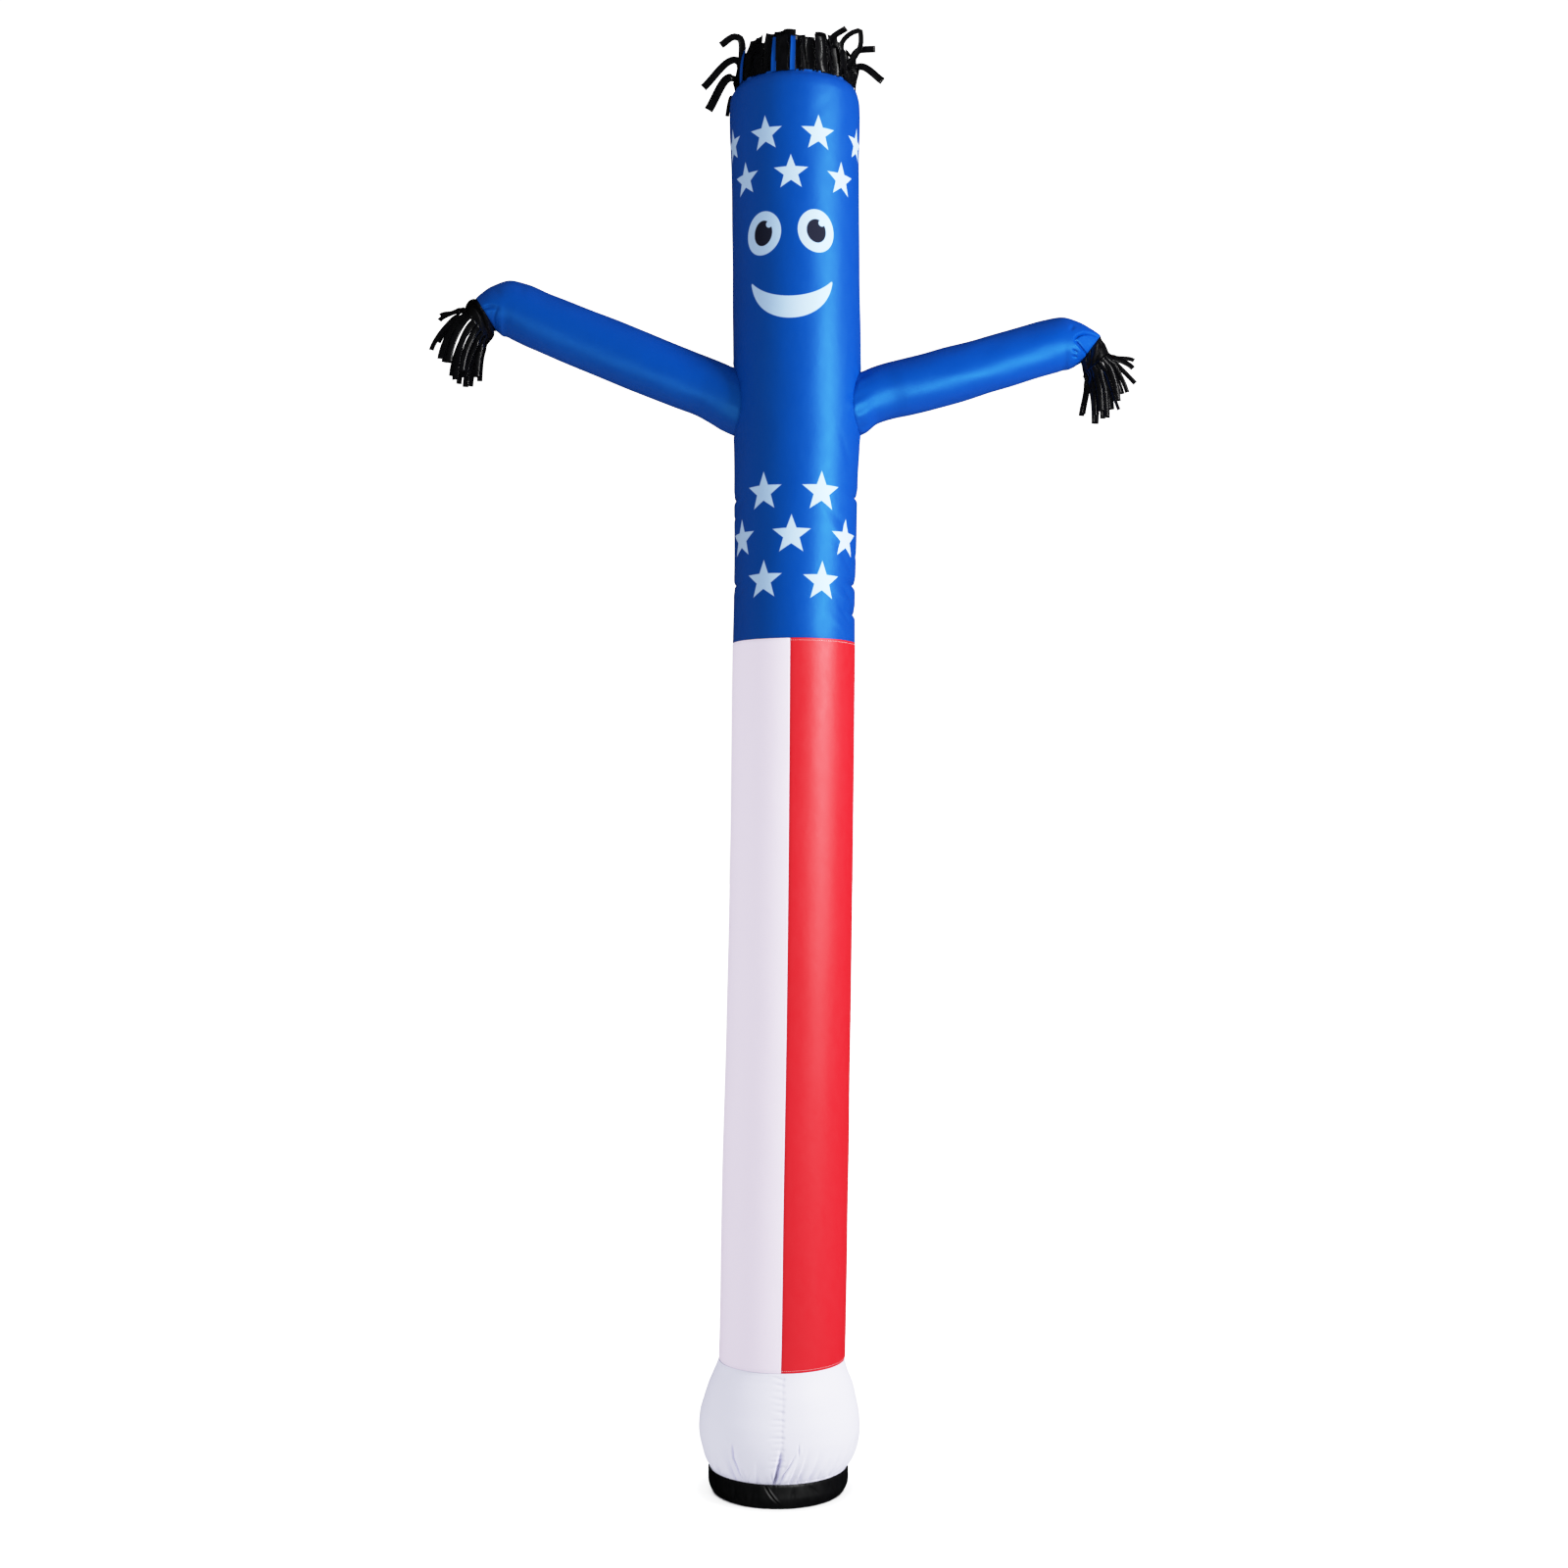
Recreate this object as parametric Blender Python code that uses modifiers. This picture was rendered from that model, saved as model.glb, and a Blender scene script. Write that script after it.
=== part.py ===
"""Inflatable air dancer, 3.05 m tall, blown up and standing on its outlet band.

Metres, +Z up, front towards -Y. The origin is the centre of the foot ring, on the ground.
Angles round the tube start at the front (0 degrees) and grow towards +X (90 degrees).
"""

import math
from bisect import bisect_right
from collections import namedtuple
from random import Random

import bmesh
import bpy
from mathutils import Matrix, Vector

# Cloth and sewing
CLOTH = 0.002  # wall of every cloth piece
SEAM = 0.0003  # gap between two pieces that are sewn together
HEM = 0.003  # straight run at each cut edge of a tube
COLUMNS = 40  # facets round the tube

# Outlet band
BAND_HEIGHT = 0.050
BAND_RADIUS = 0.1447
BAND_WALL = 0.0025
BAND_TUCK = 0.010  # how far the base cloth reaches down inside the band
TUCK_RADIUS = (BAND_RADIUS - BAND_WALL) * math.cos(math.pi / COLUMNS) - SEAM

# Heights where one piece ends and the next begins
BASE_TOP = 0.267
STRIPE_TOP = 1.747
HEAD_TOP = 2.914

# The tube leans a little to the right as it rises
Section = namedtuple("Section", "z axis_x radius")
TUBE = [
    Section(BAND_HEIGHT - BAND_TUCK, 0.000, TUCK_RADIUS),
    Section(BAND_HEIGHT + 0.0015, 0.000, TUCK_RADIUS),
    Section(0.059, 0.001, 0.148),
    Section(0.076, 0.002, 0.157),
    Section(0.100, 0.003, 0.164),
    Section(0.128, 0.003, 0.167),
    Section(0.156, 0.003, 0.165),
    Section(0.186, 0.004, 0.158),
    Section(0.214, 0.005, 0.150),
    Section(0.238, 0.005, 0.140),
    Section(0.254, 0.006, 0.134),
    Section(BASE_TOP, 0.007, 0.131),
    Section(0.600, 0.014, 0.131),
    Section(0.964, 0.022, 0.129),
    Section(1.331, 0.028, 0.128),
    Section(STRIPE_TOP, 0.033, 0.128),
    Section(1.840, 0.034, 0.127),
    Section(1.971, 0.036, 0.128),
    Section(2.090, 0.037, 0.129),
    Section(2.180, 0.039, 0.132),
    Section(2.330, 0.039, 0.134),
    Section(2.588, 0.037, 0.133),
    Section(2.750, 0.036, 0.134),
    Section(2.850, 0.035, 0.137),
    Section(2.880, 0.035, 0.136),
    Section(2.896, 0.035, 0.133),
    Section(2.905, 0.036, 0.1285),
    Section(HEAD_TOP - HEM, 0.036, 0.124),
    Section(HEAD_TOP, 0.036, 0.124),
]

# Seams down the tube, as angles
BASE_SEAM = 1.5
STRIPE_SEAM_BOTTOM = -0.4
STRIPE_SEAM_TOP = -3.7

# Gathers where the base cloth is drawn into the band: front ones by place, the rest evenly round
Gather = namedtuple("Gather", "angle spread depth reach")
GATHERS = [
    Gather(-74, 6, 0.0030, 0.045),
    Gather(-56, 5, 0.0025, 0.040),
    Gather(-38, 6, 0.0040, 0.055),
    Gather(-24, 5, 0.0030, 0.045),
    Gather(-4, 5, 0.0035, 0.050),
    Gather(13, 5, 0.0045, 0.050),
    Gather(27, 5, 0.0030, 0.040),
    Gather(46, 6, 0.0035, 0.045),
    Gather(68, 6, 0.0045, 0.060),
    Gather(84, 5, 0.0030, 0.045),
]
BACK_GATHERS = 11

# Creases across the upper tube, where it gives under its own sway
Pinch = namedtuple("Pinch", "z angle spread depth half_height")
PINCHES = [
    Pinch(1.812, 84, 42, 0.0050, 0.016),
    Pinch(1.873, 86, 48, 0.0060, 0.018),
    Pinch(2.058, 88, 45, 0.0055, 0.018),
    Pinch(2.060, -88, 30, 0.0030, 0.018),
    Pinch(1.850, -84, 34, 0.0025, 0.018),
]

# Heights of the rings that each piece of the tube is lofted through
BASE_RINGS = [0.0515, 0.059, 0.067, 0.080, 0.102, 0.128, 0.156, 0.186, 0.214, 0.238, 0.254]
STRIPE_RINGS = [0.40, 0.60, 0.84, 1.08, 1.32, 1.54]
BODY_RINGS = [
    1.795, 1.812, 1.829, 1.854, 1.873, 1.892, 1.96, 2.038, 2.058, 2.078, 2.13, 2.18,
    2.25, 2.33, 2.46, 2.60, 2.75, 2.82, 2.858, 2.880, 2.896, 2.905,
]  # fmt: skip

# Sleeves, as cuts across them from the body to the wrist: top edge, lower edge and half depth
Cut = namedtuple("Cut", "top_x top_z low_x low_z half_depth")
LEFT_SLEEVE = [
    Cut(-0.050, 2.306, -0.066, 2.172, 0.066),
    Cut(-0.100, 2.330, -0.118, 2.196, 0.065),
    Cut(-0.120, 2.339, -0.146, 2.213, 0.063),
    Cut(-0.142, 2.348, -0.176, 2.229, 0.061),
    Cut(-0.169, 2.358, -0.214, 2.243, 0.061),
    Cut(-0.276, 2.401, -0.321, 2.285, 0.062),
    Cut(-0.400, 2.451, -0.445, 2.337, 0.061),
    Cut(-0.482, 2.484, -0.527, 2.372, 0.061),
    Cut(-0.523, 2.502, -0.556, 2.386, 0.061),
    Cut(-0.561, 2.511, -0.576, 2.395, 0.060),
    Cut(-0.600, 2.499, -0.587, 2.402, 0.056),
    Cut(-0.635, 2.475, -0.593, 2.407, 0.050),
]
RIGHT_SLEEVE = [
    Cut(0.125, 2.302, 0.132, 2.168, 0.066),
    Cut(0.172, 2.317, 0.184, 2.190, 0.063),
    Cut(0.194, 2.327, 0.209, 2.209, 0.060),
    Cut(0.220, 2.336, 0.242, 2.220, 0.058),
    Cut(0.249, 2.343, 0.279, 2.228, 0.060),
    Cut(0.321, 2.362, 0.353, 2.248, 0.060),
    Cut(0.424, 2.388, 0.456, 2.280, 0.058),
    Cut(0.516, 2.414, 0.545, 2.307, 0.057),
    Cut(0.558, 2.426, 0.582, 2.318, 0.057),
    Cut(0.594, 2.432, 0.604, 2.324, 0.056),
    Cut(0.630, 2.422, 0.620, 2.329, 0.053),
    Cut(0.655, 2.409, 0.628, 2.334, 0.048),
    Cut(0.677, 2.395, 0.635, 2.338, 0.043),
]
SLEEVE_COLUMNS = 18

# Cuffs carry on from the wrist, limp and flattened, to where the cloth is cut into strips
LEFT_CUFF = [
    Cut(-0.648, 2.466, -0.601, 2.395, 0.046),
    Cut(-0.662, 2.453, -0.608, 2.382, 0.042),
]
RIGHT_CUFF = [
    Cut(0.686, 2.376, 0.638, 2.324, 0.041),
    Cut(0.694, 2.354, 0.641, 2.308, 0.038),
]
CUFF_COLUMNS = 18

# Tucks pressed into the wrists: start and end as cuts of the sleeve, angle from the top edge
Tuck = namedtuple("Tuck", "first_cut angle_first angle_last spread depth")
RIGHT_TUCKS = [Tuck(8, 74, 100, 26, 0.013)]
LEFT_TUCKS = [Tuck(9, 262, 250, 30, 0.006)]

# Strips of black cloth, cut at the cuffs and round the head
STRIP_THICKNESS = 0.0015
STRIP_TAPER = 0.25  # share of its width that a strip loses towards its end
STRIP_STEPS = 4
LOCK_STEPS = 8
BACKING = 0.007  # height of the uncut edge that the strips stay joined by
WIDEST_FACET = 14  # degrees between two points of a backing
HAIR_STRIPS = 52
HAIR_WIDTH = 0.0138
HAIR_LAYERS = 0.004  # neighbours lie this much further out or in
HAND_STRIPS = 20
HAND_WIDTH = 0.0105
HAND_LAYERS = 0.002

# Locks of hair that bend over: place, length, first and last lean from upright, where they bend,
# how far they swing sideways, and how far they twist to show their face
Lock = namedtuple("Lock", "angle length lean_first lean_last bend_at sway twist")
LOCKS = [
    Lock(-104, 0.112, 26, 168, 0.08, 0.00, 30),
    Lock(-90, 0.148, 2, 147, 0.18, 0.00, 66),
    Lock(-76, 0.172, 0, 134, 0.26, -0.10, 70),
    Lock(-62, 0.146, -4, 110, 0.46, -0.20, 60),
    Lock(35, 0.118, -6, 66, 0.56, 0.30, 30),
    Lock(62, 0.134, -4, 54, 0.46, 0.20, 50),
    Lock(76, 0.128, 0, 94, 0.38, 0.10, 66),
    Lock(90, 0.126, 2, 124, 0.24, 0.00, 66),
    Lock(131, 0.120, 0, 118, 0.40, 0.20, 40),
    Lock(173, 0.110, 0, 146, 0.36, 0.00, 20),
    Lock(-139, 0.130, 0, 106, 0.38, -0.20, 30),
]
BEND_SPAN = 0.42  # share of a strip's length over which it bends
HAIR_SHORTEST = 0.066
HAIR_LONGEST = 0.090

# Blue strips stand in these places of the black ring, which has no black strip there
BLUE_PLACES = (0, 17, 30, 42, 49)
BLUE_WIDTH = 0.010
BLUE_LENGTH = 0.078

BLUE = (0.004, 0.095, 0.480)
WHITE = (0.800, 0.790, 0.880)
RED = (0.760, 0.016, 0.022)
BLACK = (0.006, 0.006, 0.007)


def clear_scene():
    for scene_object in list(bpy.data.objects):
        bpy.data.objects.remove(scene_object, do_unlink=True)


def new_collection(name):
    collection = bpy.data.collections.new(name)
    bpy.context.scene.collection.children.link(collection)
    return collection


def cloth_material(name, colour, roughness):
    material = bpy.data.materials.new(name)
    material.use_nodes = True
    shader = material.node_tree.nodes["Principled BSDF"]
    shader.inputs["Base Color"].default_value = (*colour, 1)
    shader.inputs["Roughness"].default_value = roughness
    shader.inputs["Metallic"].default_value = 0
    material.diffuse_color = (*colour, 1)
    return material


def smooth(rows, column, at):
    """One column of a table read at a value of its first column, as a cubic that doesn't overshoot."""
    keys = [row[0] for row in rows]
    values = [getattr(row, column) for row in rows]
    at = min(max(at, keys[0]), keys[-1])
    steps = [(values[k + 1] - values[k]) / (keys[k + 1] - keys[k]) for k in range(len(keys) - 1)]
    k = min(bisect_right(keys, at), len(keys) - 1) - 1

    def slope(key):
        before = steps[max(key - 1, 0)]
        after = steps[min(key, len(steps) - 1)]
        return 0.0 if before * after <= 0 else 2 * before * after / (before + after)

    span = keys[k + 1] - keys[k]
    t = (at - keys[k]) / span
    rise = values[k + 1] - values[k]
    curve = slope(k) * span * t * (1 - t) ** 2 - slope(k + 1) * span * t**2 * (1 - t)
    return values[k] + rise * t**2 * (3 - 2 * t) + curve


def bump(distance):
    """1 at the middle, 0 from a distance of 1 on."""
    return math.cos(min(abs(distance), 1) * math.pi / 2) ** 2


def turn_between(a, b):
    """Smallest angle from one direction to another, in degrees."""
    return (a - b + 180) % 360 - 180


def all_gathers():
    """The front gathers, and others round the back at uneven steps."""
    chance = Random(5)
    first, last = GATHERS[-1].angle, GATHERS[0].angle + 360
    step = (last - first) / (BACK_GATHERS + 1)
    found = list(GATHERS)
    for number in range(1, BACK_GATHERS + 1):
        angle = first + step * number + chance.uniform(-3, 3)
        found.append(
            Gather(angle, 6, chance.uniform(0.0025, 0.0045), chance.uniform(0.040, 0.055))
        )
    return found


def fold_depth(z, angle, gathers):
    """How far the cloth lies in from its plain round section."""
    depth = 0.0
    for gather in gathers:
        above = (z - BAND_HEIGHT - 0.010) / gather.reach
        if -0.2 < above < 1:
            depth += (
                gather.depth
                * bump(turn_between(angle, gather.angle) / gather.spread)
                * bump(above)
            )
    for pinch in PINCHES:
        depth += (
            pinch.depth
            * bump((z - pinch.z) / pinch.half_height)
            * bump(turn_between(angle, pinch.angle) / pinch.spread)
        )
    return depth


def tube_point(z, angle, outset, gathers=()):
    """A point of the tube's outer face, or this far outside it."""
    turn = math.radians(angle)
    radius = smooth(TUBE, "radius", z) + outset - fold_depth(z, angle, gathers)
    return Vector(
        (smooth(TUBE, "axis_x", z) + radius * math.sin(turn), -radius * math.cos(turn), z)
    )


def loft(name, rings, closed, material, collection, capped=False):
    """A surface through rings of points that have the same number of points each."""
    mesh = bmesh.new()
    rows = [[mesh.verts.new(point) for point in ring] for ring in rings]
    for lower, upper in zip(rows, rows[1:]):
        edges = list(zip(lower, upper))
        if closed:
            edges.append(edges[0])
        for (a, d), (b, c) in zip(edges, edges[1:]):
            mesh.faces.new((a, b, c, d))
    if capped:
        mesh.faces.new(rows[-1])
        mesh.faces.new(reversed(rows[0]))
    return add_object(name, mesh, material, collection)


def add_object(name, mesh, material, collection):
    data = bpy.data.meshes.new(name)
    mesh.to_mesh(data)
    mesh.free()
    made = bpy.data.objects.new(name, data)
    collection.objects.link(made)
    if material:
        data.materials.append(material)
    return made


def thicken(surface, wall):
    """Gives an inner face its wall, outwards."""
    solidify = surface.modifiers.new("Cloth", "SOLIDIFY")
    solidify.thickness = wall
    solidify.offset = 1
    solidify.use_even_offset = True
    return surface


def cut_away(target, cutter, name):
    boolean = target.modifiers.new(name, "BOOLEAN")
    boolean.operation = "DIFFERENCE"
    boolean.solver = "EXACT"
    boolean.object = cutter


def hide_cutter(cutter):
    cutter.hide_render = True
    cutter.display_type = "WIRE"
    return cutter


def tube_panel(name, heights, edges, material, collection, gathers=()):
    """A panel of the tube. Edges gives its two side angles at a height, or None for a closed tube."""
    rings = []
    for z in heights:
        first, last = edges(z) if edges else (0, 360)
        count = round((last - first) * COLUMNS / 360)
        margin = math.degrees(SEAM / 2 / 0.125) if edges else 0
        points = count if edges is None else count + 1
        span = last - first - 2 * margin
        ring = [
            tube_point(z, first + margin + span * number / count, -CLOTH, gathers)
            for number in range(points)
        ]
        rings.append(ring)
    return thicken(loft(name, rings, edges is None, material, collection), CLOTH)


def stripe_seam(z):
    along = (z - BASE_TOP) / (STRIPE_TOP - BASE_TOP)
    return STRIPE_SEAM_BOTTOM + (STRIPE_SEAM_TOP - STRIPE_SEAM_BOTTOM) * along


def build_band(parts, black):
    """The band that straps round the blower's outlet. The dancer stands on its lower edge."""
    rings = []
    for z in (0.0, BAND_HEIGHT / 2, BAND_HEIGHT):
        radius = BAND_RADIUS - BAND_WALL
        ring = [
            Vector(
                (
                    radius * math.sin(math.tau * number / COLUMNS),
                    -radius * math.cos(math.tau * number / COLUMNS),
                    z,
                )
            )
            for number in range(COLUMNS)
        ]
        rings.append(ring)
    thicken(loft("base_band", rings, True, black, parts), BAND_WALL)


def build_base(parts, white):
    """Two white panels that bulge above the band, sewn at the front and at the back."""
    gathers = all_gathers()
    bottom = BAND_HEIGHT - BAND_TUCK
    heights = [bottom] + BASE_RINGS + [BASE_TOP - SEAM - HEM, BASE_TOP - SEAM]
    sides = {"base_left": BASE_SEAM - 180, "base_right": BASE_SEAM}
    for name, first in sides.items():
        tube_panel(name, heights, lambda z: (first, first + 180), white, parts, gathers)


def build_stripes(parts, white, red):
    """Four panels, white and red in turn, round the lower tube."""
    heights = [BASE_TOP, BASE_TOP + HEM] + STRIPE_RINGS
    heights += [STRIPE_TOP - SEAM - HEM, STRIPE_TOP - SEAM]
    panels = {
        "stripe_white_front": (-90, white),
        "stripe_red_front": (0, red),
        "stripe_white_back": (90, white),
        "stripe_red_back": (180, red),
    }
    for name, (turn, material) in panels.items():
        tube_panel(
            name,
            heights,
            lambda z: (stripe_seam(z) + turn, stripe_seam(z) + turn + 90),
            material,
            parts,
        )


def body_heights():
    return [STRIPE_TOP, STRIPE_TOP + HEM] + BODY_RINGS + [HEAD_TOP - HEM, HEAD_TOP]


def build_body(parts, cutters, blue):
    """The upper tube and head in one piece, with a hole for each sleeve and an open top."""
    body = tube_panel("body_upper", body_heights(), None, blue, parts)
    rings = [
        [tube_point(z, 360 * number / COLUMNS, 2 * SEAM) for number in range(COLUMNS)]
        for z in body_heights()
    ]
    envelope = hide_cutter(loft("body_envelope", rings, True, None, cutters, capped=True))
    return body, envelope


def cut_frame(cut):
    """Centre, half height towards the top edge, and half depth, of a cut across a sleeve."""
    top = Vector((cut.top_x, 0, cut.top_z))
    low = Vector((cut.low_x, 0, cut.low_z))
    return (top + low) / 2, (top - low) / 2, cut.half_depth


def along_sleeve(cuts):
    """The sleeve's direction through its last cut, square to it and away from the body."""
    centre, half, _ = cut_frame(cuts[-1])
    side = Vector((0, 1, 0))
    across = side.cross(half).normalized()
    towards = centre - cut_frame(cuts[-2])[0]
    return across if across.dot(towards) > 0 else -across


def tuck_depth(tucks, place, last, angle):
    depth = 0.0
    for tuck in tucks:
        along = (place - tuck.first_cut) / (last - tuck.first_cut)
        if along > 0:
            middle = tuck.angle_first + (tuck.angle_last - tuck.angle_first) * along
            near = bump(turn_between(angle, middle) / tuck.spread)
            depth += tuck.depth * math.sin(min(along, 1) * math.pi / 2) * near
    return depth


def cut_ring(cut, side, columns, outset, inwards=None):
    """Points round a cut, from its top edge, turned so that a loft along the sleeve faces out."""
    centre, half, half_depth = cut_frame(cut)
    ring = []
    for number in range(columns):
        angle = 360 * number / columns
        turn = math.radians(angle)
        up = half.normalized() * (half.length + outset) * math.cos(turn)
        out = Vector((0, side, 0)) * (half_depth + outset) * math.sin(turn)
        shrink = 1 - (inwards(angle) / half.length if inwards else 0)
        ring.append(centre + (up + out) * shrink)
    return ring


def shifted(ring, offset):
    return [point + offset for point in ring]


def build_sleeve(name, cuts, tucks, body, envelope, parts, cutters, blue):
    """A sleeve sewn round a hole in the body, drawn in where it bends down to the wrist."""
    side = 1 if cuts[0].top_x < 0 else -1
    last = len(cuts) - 1
    rings = [
        cut_ring(
            cut,
            side,
            SLEEVE_COLUMNS,
            -CLOTH,
            lambda angle, place=place: tuck_depth(tucks, place, last, angle),
        )
        for place, cut in enumerate(cuts)
    ]
    rings.insert(-1, shifted(rings[-1], -HEM * along_sleeve(cuts)))
    sleeve = thicken(loft(name, rings, True, blue, parts), CLOTH)
    cut_away(sleeve, envelope, "Body")
    bore_rings = [cut_ring(cut, side, SLEEVE_COLUMNS, -2 * CLOTH) for cut in cuts[:4]]
    bore = loft(name + "_bore", bore_rings, True, None, cutters, capped=True)
    cut_away(body, hide_cutter(bore), name)


def build_cuff(name, sleeve_cuts, cuff_cuts, tucks, parts, black):
    """The limp black end of a sleeve, down to where it is cut into strips."""
    side = 1 if sleeve_cuts[0].top_x < 0 else -1
    last = len(sleeve_cuts) - 1
    wrist = cut_ring(
        sleeve_cuts[-1],
        side,
        CUFF_COLUMNS,
        -CLOTH,
        lambda angle: tuck_depth(tucks, last, last, angle),
    )
    away = along_sleeve(sleeve_cuts)
    rings = [shifted(wrist, SEAM * away), shifted(wrist, (SEAM + HEM) * away)]
    rings += [cut_ring(cut, side, CUFF_COLUMNS, -CLOTH) for cut in cuff_cuts]
    rings.insert(-1, shifted(rings[-1], -HEM * along_sleeve(cuff_cuts)))
    thicken(loft(name, rings, True, black, parts), CLOTH)


Strip = namedtuple("Strip", "middle width length first last bend_at bend_span twist layer steps")


def add_strip(mesh, face, strip, outwards):
    """Draws one face of a backing out into a strip that bends from one direction to another."""
    place = face.calc_center_median() + outwards * strip.layer
    across = (face.verts[1].co - face.verts[0].co).normalized()

    def bent(number):
        along = number / strip.steps
        return min(max((along - strip.bend_at) / strip.bend_span, 0), 1)

    headings = [
        strip.first.slerp(strip.last, bent(number), strip.first)
        for number in range(1, strip.steps + 1)
    ]
    for number, heading in enumerate(headings, 1):
        place = place + heading * strip.length / strip.steps
        facing = (heading + headings[min(number, strip.steps - 1)]).normalized()
        turn = Matrix.Rotation(math.radians(strip.twist * bent(number)), 3, facing)
        reach = strip.width / 2 * (1 - STRIP_TAPER * number / strip.steps)
        width = turn @ (across - facing * across.dot(facing)).normalized() * reach
        depth = width.cross(facing).normalized() * STRIP_THICKNESS / 2
        drawn = bmesh.ops.extrude_discrete_faces(mesh, faces=[face])["faces"][0]
        corners = (depth - width, depth + width, width - depth, -width - depth)
        for vertex, corner in zip(drawn.verts, corners):
            vertex.co = place + corner
        face = drawn


def build_fringe(name, strips, edge, outwards, material, collection):
    """A narrow closed backing and its strips. Edge gives a point by angle, outset and rise."""
    mesh = bmesh.new()
    stations = []
    for strip, following in zip(strips, strips[1:] + strips[:1]):
        reach = strip.width / 2
        stations += [(strip.middle, -reach, strip), (strip.middle, reach, None)]
        gap = (following.middle - strip.middle) % 360
        extra = int(gap / WIDEST_FACET) - 1
        for number in range(extra):
            stations.append((strip.middle + gap * (number + 1) / (extra + 1), 0, None))
    corners = ((0, 0), (0, BACKING), (-CLOTH, BACKING), (-CLOTH, 0))
    columns = [
        [mesh.verts.new(edge(angle, shift, outset, rise)) for outset, rise in corners]
        for angle, shift, _ in stations
    ]
    tops = []
    for station, here, beyond in zip(stations, columns, columns[1:] + columns[:1]):
        for corner in range(4):
            following = (corner + 1) % 4
            face = (here[corner], beyond[corner], beyond[following], here[following])
            made = mesh.faces.new(face)
            if corner == 1 and station[2]:
                tops.append((made, station[2]))
    for face, strip in tops:
        add_strip(mesh, face, strip, outwards(strip.middle))
    bmesh.ops.recalc_face_normals(mesh, faces=mesh.faces)
    return add_object(name, mesh, material, collection)


def radial(angle):
    turn = math.radians(angle)
    return Vector((math.sin(turn), -math.cos(turn), 0))


def hair_edge(radius, base):
    """Edge points of a ring that stands on the head's rim."""
    centre = Vector((TUBE[-1].axis_x, 0, base))

    def edge(angle, shift, outset, rise):
        out = radial(angle + math.degrees(shift / radius))
        return centre + out * (radius + outset) + Vector((0, 0, rise))

    return edge


def hair_strip(angle, width, lock, layer, bend_span, steps):
    """A strip at the head's rim, with the lean and twist of a lock."""
    out = radial(angle)
    first, last = (
        Vector((0, 0, 1)) * math.cos(math.radians(lean)) + out * math.sin(math.radians(lean))
        for lean in (lock.lean_first, lock.lean_last)
    )
    last = (last + radial(angle + 90) * lock.sway).normalized()
    return Strip(
        angle, width, lock.length, first, last, lock.bend_at, bend_span, lock.twist, layer, steps
    )


def build_hair(parts, black):
    """Black strips round the open top: most stand, and some locks bend over to the sides."""
    chance = Random(11)
    strips = []
    pitch = 360 / HAIR_STRIPS
    locks = {round(lock.angle / pitch) % HAIR_STRIPS: lock for lock in LOCKS}
    for number in range(HAIR_STRIPS):
        if number in BLUE_PLACES:
            continue
        layer = HAIR_LAYERS if number % 2 else -HAIR_LAYERS / 2
        standing = Lock(
            angle=number * pitch,
            length=chance.uniform(HAIR_SHORTEST, HAIR_LONGEST),
            lean_first=chance.uniform(-2, 2),
            lean_last=chance.uniform(-34, 4),
            bend_at=0.35,
            sway=chance.uniform(-0.04, 0.04),
            twist=chance.uniform(-9, 9),
        )
        if number in locks:
            strip = hair_strip(
                number * pitch, HAIR_WIDTH, locks[number], HAIR_LAYERS, BEND_SPAN, LOCK_STEPS
            )
        else:
            strip = hair_strip(number * pitch, HAIR_WIDTH, standing, layer, 0.65, STRIP_STEPS)
        strips.append(strip)
    edge = hair_edge(TUBE[-1].radius, HEAD_TOP + SEAM)
    build_fringe("hair_black", strips, edge, radial, black, parts)


def build_blue_hair(parts, blue):
    """A few blue strips on a ring of their own, just inside the black one."""
    strips = []
    for place in BLUE_PLACES:
        angle = place * 360 / HAIR_STRIPS
        standing = Lock(angle, BLUE_LENGTH, -1, -3, 0.2, 0, 6)
        strips.append(hair_strip(angle, BLUE_WIDTH, standing, 0, 0.8, STRIP_STEPS - 1))
    edge = hair_edge(TUBE[-1].radius - CLOTH - SEAM, HEAD_TOP + SEAM)
    build_fringe("hair_blue", strips, edge, radial, blue, parts)


def build_hand(name, cuff_cuts, seed, parts, black):
    """Black strips cut at the end of a cuff: the top ones fly out, the others hang."""
    chance = Random(seed)
    side = 1 if cuff_cuts[0].top_x < 0 else -1
    centre, half, half_depth = cut_frame(cuff_cuts[-1])
    away = along_sleeve(cuff_cuts)
    up = half.normalized()
    deep = Vector((0, side, 0))

    def outwards(angle):
        turn = math.radians(angle)
        return (up * math.cos(turn) + deep * math.sin(turn)).normalized()

    def edge(angle, shift, outset, rise):
        turn = math.radians(angle)
        speed = math.hypot(half.length * math.sin(turn), half_depth * math.cos(turn))
        turn += shift / speed
        round_edge = up * (half.length + outset) * math.cos(turn)
        round_edge += deep * (half_depth + outset) * math.sin(turn)
        return centre + round_edge + away * (SEAM + rise)

    strips = []
    for number in range(HAND_STRIPS):
        angle = 360 * (number + 0.5) / HAND_STRIPS
        turn = math.radians(angle)
        flung = bump(turn_between(angle, 0) / 60)
        lean = 12 + 14 * math.cos(turn) + 46 * flung**2
        hanging = Vector((-side * math.sin(math.radians(lean)), 0, -math.cos(math.radians(lean))))
        last = (hanging + deep * 0.22 * math.sin(turn)).normalized()
        first = away.slerp(last, 0.6)
        length = chance.uniform(0.080, 0.104) - 0.020 * flung
        twist = chance.uniform(-30, 30)
        layer = HAND_LAYERS if number % 2 else 0.0
        strips.append(
            Strip(angle, HAND_WIDTH, length, first, last, 0.0, 1.0, twist, layer, STRIP_STEPS)
        )
    build_fringe(name, strips, edge, outwards, black, parts)


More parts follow.
